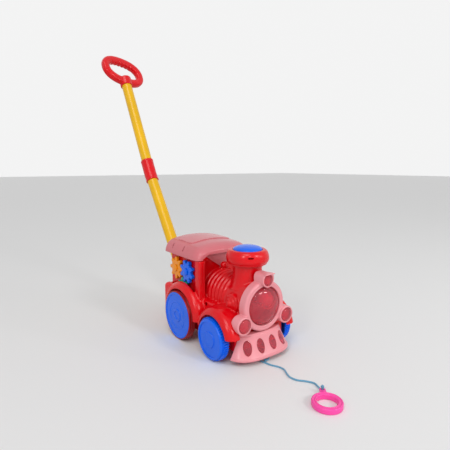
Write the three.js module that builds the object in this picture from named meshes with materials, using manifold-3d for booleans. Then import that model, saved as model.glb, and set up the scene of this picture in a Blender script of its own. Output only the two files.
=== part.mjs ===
// A push and pull toy steam train for toddlers, in millimetres. +Z is up and the nose looks towards -Y.
// Pieces are made with Y counted from just in front of the cab. At the end the whole toy is moved so
// that the origin lies on the floor, under the middle of everything but the pull cord.
import * as THREE from "three";
import { mergeVertices } from "three/addons/utils/BufferGeometryUtils.js";
import Module from "manifold-3d";

const wasm = await Module();
wasm.setup();

// Fits shared by the pieces: skin of the mouldings, air between seated pieces, air round what turns
const wall = 2.5;
const gap = 0.3;
const run = 0.4;
const over = 3;
const weld = 1e-3;

// How many facets go round a turned form, by its size
const facets = { large: 20, middle: 14, small: 8, tiny: 6, cord: 8, knot: 5, spring: 5 };

// Running gear. Axles are pressed into the wheels, and the rear wheels carry pressed-in covers.
const axle = { radius: 2.5, seat: 0.25, endPlay: 0.3 };
const outerFace = 75.6;
const frontWheel = { radius: 35, width: 15, y: -59, ribs: 32, ribHeight: 1.1, ribbed: 9.6, rimDrop: 1.1 };
const ribShares = [[0, 0], [0.5, 1]];
const rearWheel = { radius: 43.7, width: 13.2, y: 44, chamfer: 1 };
const wheelHub = { radius: 8, boreWall: 2.4, rimWall: 3.2, rimBevel: 2.6, ring: 13, relief: 0.9 };
const cover = { radius: 41.6, depth: 2, rim: 4.4, crown: 0.7, relief: 0.8, boss: 11 };

// Gears in the open sides of the cab, and the pair inside that turns them from the rear axle
const windowTooth = { angle: 30, addendum: 2.6, dedendum: 3.6, play: 0.6, flankShares: [0, 0.45, 1] };
const driveTooth = { angle: 22, addendum: 1.9, dedendum: 2.5, play: 0.4, flankShares: [0, 1] };
const bigTeeth = 8;
const smallTeeth = 6;
const axleTeeth = 16;
const shaftTeeth = 26;
const windowModule = 4.5625;
const windowGear = { thickness: 6.8, air: 0.9, bevel: 1.2, blueTurn: 22.5, belowEave: 4.65 };
const gearWay = { yellow: 0, green: -66.6 };
const blueGear = { y: 39.3, z: 122 };
const driveGear = { x: 22, thickness: 7, hub: 8, hubLength: 3 };
const stud = { radius: 4.2, bore: 2.1, head: 6.4, headRim: 0.9, dome: 1.4, stem: 1.8 };
const shaft = { radius: 3, seat: 0.25, end: 57.4 };

// The eaves clear the tips of the gears, and the cab and the roof take their heights from the eaves.
const gearTop = blueGear.z + (bigTeeth * windowModule) / 2 + windowTooth.addendum;
const eave = gearTop + windowGear.belowEave;
const aboveEave = { cab: 11.5, crown: 35.2, archEnd: 2.3, archTop: 9.1, shoulder: 0.5, visorTop: 10.5 };
const belowEave = { column: 0.5, visorTip: 18.5 };

// Mudguards, the deck behind the rear ones, and the wall inside the rear mudguards
const guard = { play: 3.3, rise: 12, outer: 71, bottom: 40 };
const deck = { half: 68, top: 92, back: 100, corner: 7 };
const partition = { inner: 59.2, outer: 60.8 };

// Hull, cab and boiler
const hull = { half: 50, front: -94, back: 104, bottom: 19.5, shoulder: 60 };
const saddle = { top: 82, front: -34, corner: 5 };
const cab = { front: 15, top: eave + aboveEave.cab };
const column = {
  inner: 43,
  outer: 56.5,
  front: -3.5,
  bottom: 62,
  top: eave - belowEave.column,
  round: 3,
  flute: 2.4,
};
const pocket = { belowGear: 1.4, front: 10.5, back: 97.5 };
const boiler = { radius: 37, z: 88.7, front: -92 };
const band = { count: 6, start: -47, pitch: 9.8, width: 5.6, rise: 2.6 };
const sideBoss = { y: -71, z: 91, radius: 16, out: 43.5, step: 2.6, ring: 10.8, dome: 6, domeOut: 4.6 };
const neckTop = 150.5;
const belowNeck = { flareTop: 8.5, flareFoot: 38.5, foot: 52.5 };
const neck = {
  radius: 24,
  y: -63,
  top: neckTop,
  flare: 8,
  flareTop: neckTop - belowNeck.flareTop,
  flareFoot: neckTop - belowNeck.flareFoot,
  foot: neckTop - belowNeck.foot,
};
const knob = { radius: 6.6, y: 2.5, z: 133.5, stem: 4.4, foot: 124, collar: 1.2 };

// Chimney cap, the button in its mouth and the spring under the button
const capFoot = neck.top + gap;
const aboveFoot = { belly: 8.7, slot: 14.2, top: 23 };
const cap = {
  radius: 35.5,
  bottom: capFoot,
  belly: capFoot + aboveFoot.belly,
  top: capFoot + aboveFoot.top,
  mouth: 24.6,
  lip: 28,
  foot: 32,
  collar: 3,
};
const capSlot = { width: 7, height: 2, z: capFoot + aboveFoot.slot, turn: -35, depth: 8 };
const button = {
  radius: cap.mouth - run,
  rim: cap.top - gap,
  rise: 6.8,
  skirt: 4,
  skin: 1.8,
  stem: 5,
  barb: 1.5,
  barbHeight: 3.4,
};
const springWire = { radius: 0.6, coil: 7.6, turns: 5, steps: 8 };

// Roof: a crowned shell that falls towards the back, with a rounded nose and tail
const roof = { half: 60, eave, crown: eave + aboveEave.crown, crest: 26, fall: 9.7, back: 115 };
const nose = { start: 22, length: 22, drop: 19, narrow: 8, steps: 3 };
const tail = { start: 108, length: 7, drop: 6, narrow: 5, steps: 2 };
const roofShares = [
  [1, 0],
  [0.985, 0.18],
  [0.95, 0.36],
  [0.89, 0.55],
  [0.81, 0.7],
  [0.72, 0.79],
  [0.5, 0.895],
  [0.25, 0.975],
  [0, 1],
];
const roofStretchShares = [0.55, 1];
const panel = { half: 44, front: 41, back: 93, rise: 1.3, corner: 9 };
// A slot runs down the skin from one of the roof's shares to another, and a little beyond both.
const roofSlot = { width: 1.8, topShare: 3, endShare: 2, beyond: 0.9, firstY: 50, secondY: 87, deep: 4 };
const arch = {
  half: 46,
  flatHalf: 34,
  end: eave + aboveEave.archEnd,
  top: eave + aboveEave.archTop,
  depth: 8,
};
const visor = {
  thickness: 2.2,
  half: 41,
  shoulderHalf: 27,
  shoulder: eave + aboveEave.shoulder,
  top: eave + aboveEave.visorTop,
  tip: eave - belowEave.visorTip,
  tipHalf: 1.5,
};
const roofTab = { length: 9, thickness: 2.2, drop: 5, frontY: 30, backY: 80 };

// Face ring, its lamps and the window
const face = { radius: 41, front: -108, round: 4, spigot: 11.5, spigotWall: 2, lip: 3.3, bevel: 1.6 };
const pane = { radius: 31.4, rim: -103, foot: 3.3, rise: 11.5, skin: 1.6, ledge: 1.9 };
const lowLamp = { x: 43.9, z: 66.4, radius: 14.5, front: -112, lens: 11.3, rise: 4.6, round: 1.4 };
const highLamp = { x: 0, z: 132.2, radius: 11.5, front: -115, lens: 8.9, rise: 3.8, hood: 143.6, corner: 3 };
const lampSeat = { depth: 4.6, floor: 2.2, foot: 2.4, skin: 1.6 };
const cradle = { plate: 2.2, trough: 2, length: 23.5, low: 5, spread: 15 };
const ball = { radius: 13.5, x: 10.5, y: -94.5, z: 96 };

// Cowcatcher: half an oval in plan, flared downwards, with a lip below and a step above
const plowTop = { half: 50.5, deep: 42.5, middle: -65.5 };
const plowFoot = { half: 60, deep: 49.3, middle: -71 };
const plowZ = { floor: 9, lip: 12.6, wallFoot: 13.8, wallTop: 43.4, step: 44.2, top: 47 };
const plowOut = { lip: 1.5, lipRound: 0.5, step: 1.6 };
const plowCurve = { power: 3, flare: 1.25, steps: 20 };
const plowWallShares = [0.45];
const oval = {
  width: 12.4,
  height: 22.5,
  z: 28,
  reach: 12,
  proud: 0.8,
  flange: 1.4,
  flangeSkin: 1.6,
  points: 10,
};
const ovalPlaces = [-36, -12.6, 12.6, 36];

// Base plate with its bearings and the eye for the cord
const base = { thickness: 2.5, pad: 5.5, padRadius: 5.5 };
const bearing = { x: 38, width: 6, radius: 7 };
const eye = { half: 8, front: -107.5, y: -102.5, radius: 1.9 };
const screw = { head: 2.9, headHeight: 1.8, shank: 1.35, slot: 0.8, slotDepth: 0.9, pilot: 0.25 };
const baseScrew = { x: 43.2, frontY: -85, backY: 92, length: 12, boss: 5, bossHeight: 14 };
const sideScrew = { seat: -14, length: 26, boss: 5.5 };
const sideScrewPlaces = {
  middle: { y: -13.6, z: 75.5 },
  rear: { y: 84, z: 60 },
  front: { y: -80, z: 48 },
};

// Push handle: lower tube in a socket behind the cab, a coupler with a slight bend, upper tube and grip
const tube = { radius: 12, wall: 1.2, lowerLean: 34.7, upperLean: 29.05, upperLength: 264 };
const bend = { y: 289.6, z: 290 };
const socket = {
  radius: 15.6,
  bottom: 50,
  mouth: 98,
  floor: 3,
  web: 4.5,
  webFoot: 30,
  lip: 1.4,
  lipHeight: 6,
};
const coupler = { radius: 13.8, below: 19, above: 34, stop: 1.5, bead: 0.8, beadLength: 3 };
const grip = {
  half: 59,
  high: 40,
  start: 246,
  holeHalf: 39,
  holeHigh: 19.5,
  depth: 19.5,
  bevel: 6,
  turn: 14,
  power: 2.3,
};
const gripHole = { waves: 4, wave: 2.4, nub: 5, nubHalf: 9 };
const gripSteps = { outside: { rim: 22, hole: 26 }, inside: { rim: 14, hole: 14 } };
const gripSleeve = { radius: 14.5, start: 242, crown: 3.5, crownIn: 5 };

// Pull cord with its knots, and the ring at its end
const cord = { radius: 1.3, knot: 2.7, lie: 1.4, steps: 40, tailSteps: 4 };
const pullRing = {
  x: -20.5,
  y: -252,
  radius: 20.7,
  hole: 13.6,
  height: 8,
  round: 1.8,
  groove: 0.9,
  grooveHalf: 1.6,
};
const lug = { half: 4.4, reach: 34, floor: 3.1, thickness: 3, hole: 2.4, inset: 4.4, turn: 52 };

const finishes = {
  red: { color: 0xd20a1c, roughness: 0.3 },
  pink: { color: 0xe59aa0, roughness: 0.32 },
  blue: { color: 0x145fe1, roughness: 0.32 },
  yellow: { color: 0xe6be05, roughness: 0.34 },
  orange: { color: 0xe8901a, roughness: 0.36 },
  green: { color: 0x1f9a86, roughness: 0.36 },
  clearRed: { color: 0xd83a52, roughness: 0.12, opacity: 0.55, transparent: true },
  pale: { color: 0xf0d8de, roughness: 0.34 },
  hotPink: { color: 0xff5ab4, roughness: 0.32 },
  cord: { color: 0x5a96b4, roughness: 0.85 },
  steel: { color: 0xb9bcc0, roughness: 0.28, metalness: 1 },
};

const radians = THREE.MathUtils.degToRad;
const lerp = THREE.MathUtils.lerp;
const axisX = new THREE.Vector3(1, 0, 0);
const axisY = new THREE.Vector3(0, 1, 0);
const axisZ = new THREE.Vector3(0, 0, 1);

function fromFaces(places, faces) {
  return new wasm.Manifold(
    new wasm.Mesh({ numProp: 3, vertProperties: places, triVerts: Uint32Array.from(faces) }),
  );
}

// A closed geometry as a solid that faces out, whichever way its outline was drawn.
function solid(geometry) {
  const bare = geometry.clone();
  bare.deleteAttribute("normal");
  bare.deleteAttribute("uv");
  const merged = mergeVertices(bare, weld);
  const faces = [];
  for (let i = 0; i < merged.index.count; i += 3) {
    const [a, b, c] = merged.index.array.slice(i, i + 3);
    if (a !== b && b !== c && c !== a) faces.push(a, b, c);
  }
  const places = new Float32Array(merged.attributes.position.array);
  const made = fromFaces(places, faces);
  return made.volume() > 0 ? made : fromFaces(places, faces.reverse());
}

function mirrored(body) {
  const mesh = body.getMesh();
  const flipped = (value, i) => (i % mesh.numProp === 0 ? -value : value);
  const places = Float32Array.from(mesh.vertProperties, flipped);
  return fromFaces(places, Array.from(mesh.triVerts).reverse());
}

const union = (...bodies) => bodies.flat().reduce((whole, body) => whole.add(body));
const bothSides = (body) => union(body, mirrored(body));

// A block between two values along each axis.
function block([x0, x1], [y0, y1], [z0, z1]) {
  const made = new THREE.BoxGeometry(x1 - x0, y1 - y0, z1 - z0);
  made.translate((x0 + x1) / 2, (y0 + y1) / 2, (z0 + z1) / 2);
  return solid(made);
}

// Points of an arc about a centre, turning from one angle to another, for outlines and profiles.
function arc([u, v], [radiusU, radiusV], from, to, steps) {
  return Array.from({ length: steps + 1 }, (_, i) => {
    const turn = radians(lerp(from, to, i / steps));
    return [u + radiusU * Math.cos(turn), v + radiusV * Math.sin(turn)];
  });
}

// Turned forms. A profile is a list of [radius, place along the axis].
const revolve = (profile, count) =>
  new THREE.LatheGeometry(
    profile.map(([radius, along]) => new THREE.Vector2(radius, along)),
    count,
  );
const turnedX = (profile, y, z, count) =>
  solid(revolve(profile, count).rotateZ(-Math.PI / 2).translate(0, y, z));
const turnedY = (profile, x, z, count) => solid(revolve(profile, count).translate(x, 0, z));
const turnedZ = (profile, x, y, count) =>
  solid(revolve(profile, count).rotateX(Math.PI / 2).translate(x, y, 0));
const rod = (radius, from, to) => [[0, from], [radius, from], [radius, to], [0, to]];
const pipe = (inner, outer, from, to) => [
  [inner, from],
  [outer, from],
  [outer, to],
  [inner, to],
  [inner, from],
];

// Outlines pushed out: of Y-Z points along X, of X-Z points along Y, of X-Y points along Z.
const outline = (points) => new THREE.Shape(points.map(([u, v]) => new THREE.Vector2(u, v)));
const push = (shape, depth) => new THREE.ExtrudeGeometry(shape, { depth, bevelEnabled: false });
const standing = new THREE.Matrix4().makeBasis(axisY, axisZ, axisX);
const alongX = (points, [from, to]) =>
  solid(push(outline(points), to - from).applyMatrix4(standing).translate(from, 0, 0));
const alongY = (points, [from, to]) =>
  solid(push(outline(points), to - from).rotateX(Math.PI / 2).translate(0, to, 0));
const alongZ = (points, [from, to]) =>
  solid(push(outline(points), to - from).translate(0, 0, from));

// A skin over rings with as many points each, closed by a flat end at both sides.
function loft(rings) {
  const count = rings[0].length;
  const faces = [];
  for (let r = 0; r + 1 < rings.length; r++) {
    for (let i = 0; i < count; i++) {
      const a = r * count + i;
      const b = r * count + ((i + 1) % count);
      faces.push(a, b, b + count, a, b + count, a + count);
    }
  }
  const last = (rings.length - 1) * count;
  for (let i = 1; i + 1 < count; i++) {
    faces.push(0, i + 1, i, last, last + i, last + i + 1);
  }
  const made = new THREE.BufferGeometry().setFromPoints(rings.flat());
  made.setIndex(faces);
  return solid(made);
}

// A profile turned about a line in the middle plane that leans back from a point on it.
function leaning(profile, foot, lean, count) {
  const made = revolve(profile, count).rotateX(Math.PI / 2).rotateX(-radians(lean));
  return solid(made.translate(0, foot.y, foot.z));
}
const alongLean = (foot, lean, distance) => ({
  y: foot.y + Math.sin(radians(lean)) * distance,
  z: foot.z + Math.cos(radians(lean)) * distance,
});

// A round cord or wire along a curve.
function cordAlong(curve, radius, sides, steps) {
  const ring = Array.from({ length: sides }, (_, i) => (2 * Math.PI * i) / sides);
  const section = outline(ring.map((turn) => [radius * Math.cos(turn), radius * Math.sin(turn)]));
  return solid(new THREE.ExtrudeGeometry(section, { steps, extrudePath: curve, bevelEnabled: false }));
}
const route = (points) => new THREE.CatmullRomCurve3(points.map((place) => new THREE.Vector3(...place)));

function geometryOf(body) {
  const source = body.getMesh();
  const made = new THREE.BufferGeometry();
  made.setAttribute("position", new THREE.BufferAttribute(new Float32Array(source.vertProperties), 3));
  made.setIndex(new THREE.BufferAttribute(new Uint32Array(source.triVerts), 1));
  return made;
}

const toy = new THREE.Group();

// A named mesh of a body, welded so that no cut leaves two corners in one place.
function piece(name, body, finish) {
  const made = geometryOf(solid(geometryOf(body)));
  made.computeVertexNormals();
  const mesh = new THREE.Mesh(made, new THREE.MeshStandardMaterial(finishes[finish]));
  mesh.name = name;
  toy.add(mesh);
}

// The same body on the left, where +X is, and on the right.
function pair(name, body, finish) {
  piece(`${name}_left`, body, finish);
  piece(`${name}_right`, mirrored(body), finish);
}

// Mudguards: a disc about the axle with a rounded outer corner, and the hollow behind its skin

const guardInner = (wheel) => wheel.radius + guard.play;
const guardOuter = (wheel) => guardInner(wheel) + guard.rise;
const guardCorner = (wheel) => [guardInner(wheel), guard.outer - guard.rise];

function guardForm(wheel, grow) {
  const round = guard.rise + grow;
  const corner = arc(guardCorner(wheel), [round, round], 0, 90, 2);
  const profile = [[0, 0], [guardOuter(wheel) + grow, 0], ...corner, [0, guard.outer + grow]];
  return bothSides(turnedX(profile, wheel.y, wheel.radius, facets.large));
}

function wheelWell(wheel, start) {
  const round = guard.rise - wall;
  const profile = [
    [0, hull.half],
    [guardOuter(wheel) - wall, hull.half],
    ...arc(guardCorner(wheel), [round, round], 0, 90, 1),
    [guardInner(wheel), outerFace + over],
    [0, outerFace + over],
  ];
  const reach = 2 * guardOuter(wheel);
  const outside = block([start, outerFace + over], [wheel.y - reach, wheel.y + reach], [-reach, reach]);
  return bothSides(turnedX(profile, wheel.y, wheel.radius, facets.large).intersect(outside));
}

// The part of the front mudguard beside the cowcatcher and the lamps, with the air that they leave.
function guardClearance() {
  const beside = block(
    [hull.half - gap, outerFace],
    [hull.front * 2, frontWheel.y],
    [guard.bottom - gap, cab.top],
  );
  return guardForm(frontWheel, gap).intersect(bothSides(beside));
}

// Deck behind the rear wheels, rounded at the back and at its sides.
function deckForm(inset) {
  const steps = inset > 0 ? 1 : 2;
  const corner = deck.corner - inset;
  const [back, top, half] = [deck.back - inset, deck.top - inset, deck.half - inset];
  const low = guard.bottom - inset;
  const rearCorner = arc([back - corner, top - corner], [corner, corner], 0, 90, steps);
  const sidePoints = [[rearWheel.y, low], [back, low], ...rearCorner, [rearWheel.y, top]];
  const fromSide = alongX(sidePoints, [-half, half]);
  const leftCorner = arc([half - corner, top - corner], [corner, corner], 0, 90, steps);
  const rightCorner = leftCorner.map(([x, z]) => [-x, z]).reverse();
  const backPoints = [[half, low], ...leftCorner, ...rightCorner, [-half, low]];
  const fromBack = alongY(backPoints, [rearWheel.y - over, deck.back + over]);
  return fromSide.intersect(fromBack);
}

// Hull with the cab on it. With an inset it is the space inside, open below and above.
function hullForm(inset) {
  const top = cab.top + (inset > 0 ? over : 0);
  const bottom = hull.bottom - (inset > 0 ? over : 0);
  const points = [
    [hull.front + inset, bottom],
    [hull.back - inset, bottom],
    [hull.back - inset, top],
    [cab.front + inset, top],
    [cab.front + inset, hull.shoulder - inset],
    [hull.front + inset, hull.shoulder - inset],
  ];
  return alongX(points, [inset - hull.half, hull.half - inset]);
}

// Saddle under the boiler, rounded along its upper edges.
function saddleForm(inset) {
  const [half, top, corner] = [hull.half - inset, saddle.top - inset, saddle.corner - inset / 2];
  const low = hull.shoulder - over;
  const left = arc([half - corner, top - corner], [corner, corner], 0, 90, 2);
  const right = left.map(([x, z]) => [-x, z]).reverse();
  return alongY([[half, low], ...left, ...right, [-half, low]], [saddle.front + inset, cab.front]);
}

function boilerForm() {
  const profile = [[0, boiler.front], [boiler.radius, boiler.front]];
  for (let i = 0; i < band.count; i++) {
    const start = band.start + i * band.pitch;
    profile.push([boiler.radius, start], [boiler.radius + band.rise, start + band.width / 2]);
    profile.push([boiler.radius, start + band.width]);
  }
  profile.push([boiler.radius, cab.front + wall], [0, cab.front + wall]);
  return turnedY(profile, 0, boiler.z, facets.large);
}

// The chimney's neck, spreading at its foot into the boiler.
function neckForm(inset, top) {
  const radius = neck.radius - inset;
  const flareSize = [neck.flare, neck.flareTop - neck.flareFoot];
  const spread = arc([radius + neck.flare, neck.flareTop], flareSize, 270, 180, 2);
  const profile = [[0, neck.foot], [radius + neck.flare, neck.foot], ...spread, [radius, top], [0, top]];
  const behindFace = block([-hull.half, hull.half], [boiler.front + inset, cab.front], [0, top]);
  return turnedZ(profile, 0, neck.y, facets.large).intersect(behindFace);
}

function sideBossForm() {
  const { radius, out, step, ring, dome, domeOut } = sideBoss;
  const profile = [
    [0, boiler.radius - 2 * wall],
    [radius, boiler.radius - 2 * wall],
    [radius, out - 2 * step],
    [radius - step, out - step],
    [ring, out - step],
    [ring - step, out],
    ...arc([0, out], [dome, domeOut], 0, 90, 2),
  ];
  return bothSides(turnedX(profile, sideBoss.y, sideBoss.z, facets.middle));
}

function columnForm(inset) {
  const rear = inset > 0 ? pocket.front - inset : cab.front + wall;
  const [inner, outer, front] = [column.inner + inset, column.outer - inset, column.front + inset];
  const ridge = (inner + column.round + outer) / 2;
  const flute = [
    [ridge - column.flute, front],
    [ridge - column.flute / 2, front + column.flute / 2],
    [ridge, front],
  ];
  const points = [
    [inner, rear],
    [inner, front + column.round],
    [inner + column.round, front],
    ...(inset > 0 ? [] : flute),
    [outer - column.round, front],
    [outer, front + column.round],
    [outer, rear],
  ];
  return bothSides(alongZ(points, [column.bottom - (inset > 0 ? over : 0), column.top - inset]));
}

function knobForm() {
  const profile = [
    [0, knob.foot],
    [knob.stem + knob.collar, knob.foot],
    [knob.stem, knob.z - knob.radius],
    ...arc([0, knob.z], [knob.radius, knob.radius], -45, 90, 4),
  ];
  return turnedZ(profile, 0, knob.y, facets.small);
}

// Socket for the handle, on a web behind the cab

const socketSlant = 1 / Math.cos(radians(tube.lowerLean));
const socketFoot = alongLean(bend, tube.lowerLean, (socket.bottom - bend.z) * socketSlant);
const socketLength = (socket.mouth - socket.bottom) * socketSlant;

function socketForm() {
  const lipStart = socketLength - socket.lipHeight;
  const profile = [
    [0, -socket.floor],
    [socket.radius, -socket.floor],
    [socket.radius, lipStart],
    [socket.radius + socket.lip, lipStart + socket.lip],
    [socket.radius + socket.lip, socketLength],
    [0, socketLength],
  ];
  const mouth = alongLean(socketFoot, tube.lowerLean, lipStart);
  const webPoints = [
    [hull.back - wall, socket.webFoot],
    [hull.back + wall, socket.webFoot],
    [socketFoot.y, socketFoot.z],
    [mouth.y, mouth.z],
    [hull.back - wall, mouth.z + socket.lipHeight],
  ];
  const web = alongX(webPoints, [-socket.web, socket.web]);
  return union(leaning(profile, socketFoot, tube.lowerLean, facets.middle), web);
}

// Places of the gears. Angles go from +Y towards +Z, in degrees.

const placed = (from, distance, way) => ({
  y: from.y + Math.cos(radians(way)) * distance,
  z: from.z + Math.sin(radians(way)) * distance,
});
const pitchOf = (teeth, module) => (teeth * module) / 2;
const yellowGear = placed(blueGear, bigTeeth * windowModule, gearWay.yellow);
const greenGear = placed(blueGear, pitchOf(bigTeeth + smallTeeth, windowModule), gearWay.green);
const greenTip = pitchOf(smallTeeth, windowModule) + windowTooth.addendum;
const pocketFloor = greenGear.z - greenTip - pocket.belowGear;
const rearAxle = { y: rearWheel.y, z: rearWheel.radius };
const driveReach = Math.hypot(greenGear.y - rearAxle.y, greenGear.z - rearAxle.z);
const driveWay = THREE.MathUtils.radToDeg(Math.atan2(greenGear.z - rearAxle.z, greenGear.y - rearAxle.y));
const driveModule = (2 * driveReach) / (axleTeeth + shaftTeeth);

// Turn of a gear that meshes with another gear whose turn is known.
const meshed = (teeth, way, otherTeeth, otherTurn) =>
  way + 180 - 180 / teeth - ((otherTurn - way) * otherTeeth) / teeth;
const yellowTurn = meshed(bigTeeth, gearWay.yellow, bigTeeth, windowGear.blueTurn);
const greenTurn = meshed(smallTeeth, gearWay.green, bigTeeth, windowGear.blueTurn);
const shaftTurn = meshed(shaftTeeth, driveWay, axleTeeth, 0);

// Outline of a spur gear with involute flanks, radial below its base circle.
function gearPoints(teeth, module, tooth, turn) {
  const pitch = pitchOf(teeth, module);
  const baseCircle = pitch * Math.cos(radians(tooth.angle));
  const involute = (radius) => {
    const pressure = Math.acos(Math.min(1, baseCircle / radius));
    return Math.tan(pressure) - pressure;
  };
  const halfAtPitch = Math.PI / (2 * teeth) - tooth.play / (2 * pitch);
  const halfAt = (radius) => halfAtPitch + involute(pitch) - involute(radius);
  const [root, tip] = [pitch - tooth.dedendum, pitch + tooth.addendum];
  const flankRadii = tooth.flankShares.map((share) => lerp(root, tip, share));
  const flank = flankRadii.map((radius) => [radius, halfAt(radius)]);
  const points = [];
  for (let i = 0; i < teeth; i++) {
    const middle = radians(turn) + (2 * Math.PI * i) / teeth;
    points.push(...flank.map(([radius, half]) => [radius, middle - half]));
    points.push(...flank.map(([radius, half]) => [radius, middle + half]).reverse());
  }
  return points.map(([radius, angle]) => [radius * Math.cos(angle), radius * Math.sin(angle)]);
}

// A gear about a line along X, with a bore.
function gear(points, { y, z }, from, thickness, bore) {
  const body = alongX(points.map(([u, v]) => [u + y, v + z]), [from, from + thickness]);
  return body.subtract(turnedX(rod(bore, from - over, from + thickness + over), y, z, facets.small));
}

// A disc as large as a gear and chamfered at its outer face, which takes that edge off the gear's teeth.
function gearBlank(points, { y, z }, from, thickness, bevel) {
  const reach = Math.max(...points.map((point) => Math.hypot(...point))) + weld;
  const to = from + thickness;
  const profile = [[0, from], [reach, from], [reach, to - bevel], [reach - bevel, to], [0, to]];
  return turnedX(profile, y, z, facets.large);
}

// Body: everything outside less everything inside, with bosses and studs added and bored

const gearFace = hull.half + windowGear.air;
const studEnd = gearFace + windowGear.thickness + run;
const bossFoot = hull.bottom + base.pad + gap;
const sidePlaces = Object.values(sideScrewPlaces);
const basePlaces = [-1, 1].flatMap((side) => [
  { side, end: "front", x: side * baseScrew.x, y: baseScrew.frontY },
  { side, end: "back", x: side * baseScrew.x, y: baseScrew.backY },
]);

// The disc inside both mudguards of an axle, between the hull's walls.
function guardCore(wheel) {
  const inside = hull.half - wall;
  const core = turnedX(rod(guardOuter(wheel) - wall, -inside, inside), wheel.y, wheel.radius, facets.middle);
  return core.intersect(block([-inside, inside], [hull.front + wall, hull.back - wall], [0, cab.top]));
}

function bodyHollows() {
  const { y, radius } = rearWheel;
  const roundRoom = rod(guardOuter(rearWheel) - wall, hull.half, partition.inner);
  const besideHull = turnedX(roundRoom, y, radius, facets.middle);
  const belowPocket = block(
    [hull.half, partition.inner],
    [y - guardOuter(rearWheel), deck.back - wall],
    [hull.bottom, pocketFloor - wall],
  );
  const outsidePartition = block([partition.outer, deck.half], [y, deck.back], [0, deck.top]);
  const bossReach = sideBoss.out - 2 * wall;
  return [
    hullForm(wall),
    saddleForm(wall),
    turnedY(rod(boiler.radius - wall, hull.front - over, cab.front), 0, boiler.z, facets.large),
    neckForm(wall, neck.top + over),
    guardCore(frontWheel),
    guardCore(rearWheel),
    turnedX(rod(sideBoss.radius - wall, -bossReach, bossReach), sideBoss.y, sideBoss.z, facets.tiny),
    columnForm(wall),
    wheelWell(frontWheel, hull.half),
    wheelWell(rearWheel, partition.outer),
    bothSides(union(besideHull, deckForm(wall)).intersect(belowPocket)),
    bothSides(deckForm(wall).intersect(outsidePartition)),
    bothSides(block([hull.half, partition.inner], [pocket.front, pocket.back], [pocketFloor, cab.top])),
  ];
}

function axleSlot(wheel) {
  const half = axle.radius + 2 * run;
  const across = [-outerFace, outerFace];
  const open = block(across, [wheel.y - half, wheel.y + half], [hull.bottom - over, wheel.radius]);
  return union(turnedX(rod(half, ...across), wheel.y, wheel.radius, facets.small), open);
}

function bodyShell() {
  const beforeHull = block([-hull.half, hull.half], [hull.front * 2, hull.front], [0, cab.top]);
  const outside = union(
    hullForm(0),
    saddleForm(0),
    boilerForm(),
    neckForm(0, neck.top),
    guardForm(frontWheel, 0).subtract(beforeHull),
    guardForm(rearWheel, 0),
    deckForm(0),
    sideBossForm(),
    columnForm(0),
    knobForm(),
    socketForm(),
  );
  const length = [hull.front * 2, hull.back * 2];
  const besideHull = bothSides(block([hull.half, outerFace], length, [hull.front, guard.bottom]));
  const belowHull = block([-outerFace, outerFace], length, [hull.front, hull.bottom]);
  const trimmed = outside.subtract(union(bodyHollows(), besideHull, belowHull));

  const reach = hull.half - wall / 2;
  const crossBoss = rod(sideScrew.boss, -reach, reach);
  const crossBosses = sidePlaces.map(({ y, z }) => turnedX(crossBoss, y, z, facets.small));
  const baseBosses = basePlaces.map(({ x, y }) =>
    turnedZ(rod(baseScrew.boss, bossFoot, bossFoot + baseScrew.bossHeight), x, y, facets.small),
  );
  const studs = [blueGear, yellowGear].map(({ y, z }) =>
    bothSides(turnedX(rod(stud.radius, hull.half - wall, studEnd), y, z, facets.small)),
  );
  const added = union(trimmed, union(crossBosses, baseBosses).intersect(outside), studs);

  const pilot = screw.shank + screw.pilot;
  const pilotEnd = sideScrew.seat + sideScrew.length;
  const sideHoles = sidePlaces.flatMap(({ y, z }) => [
    turnedX(rod(screw.head + 2 * gap, -guard.outer + wall, sideScrew.seat), y, z, facets.tiny),
    turnedX(rod(screw.shank + run, sideScrew.seat - over, 0), y, z, facets.tiny),
    turnedX(rod(pilot, 0, pilotEnd), y, z, facets.tiny),
  ]);
  const baseHoles = basePlaces.map(({ x, y }) =>
    turnedZ(rod(pilot, bossFoot - over, bossFoot + baseScrew.length), x, y, facets.tiny),
  );
  const studHoles = [blueGear, yellowGear].map(({ y, z }) =>
    bothSides(turnedX(rod(stud.bore, hull.half - wall / 2, studEnd + over), y, z, facets.tiny)),
  );
  const tongueNotch = block(
    [-eye.half - gap, eye.half + gap],
    [hull.front - over, hull.front + wall + over],
    [0, hull.bottom + base.thickness + gap],
  );
  return added.subtract(
    union(
      sideHoles,
      baseHoles,
      studHoles,
      axleSlot(frontWheel),
      axleSlot(rearWheel),
      turnedX(rod(shaft.radius + run, -shaft.end, shaft.end), greenGear.y, greenGear.z, facets.small),
      leaning(rod(tube.radius + gap, 0, socketLength + over), socketFoot, tube.lowerLean, facets.middle),
      tongueNotch,
    ),
  );
}

const shell = bodyShell();
const leftHalf = block([gap / 2, outerFace * 2], [hull.front * 2, hull.back * 2], [0, cab.top + over]);
piece("body_left", shell.intersect(leftHalf), "red");
piece("body_right", shell.intersect(mirrored(leftHalf)), "red");

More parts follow.
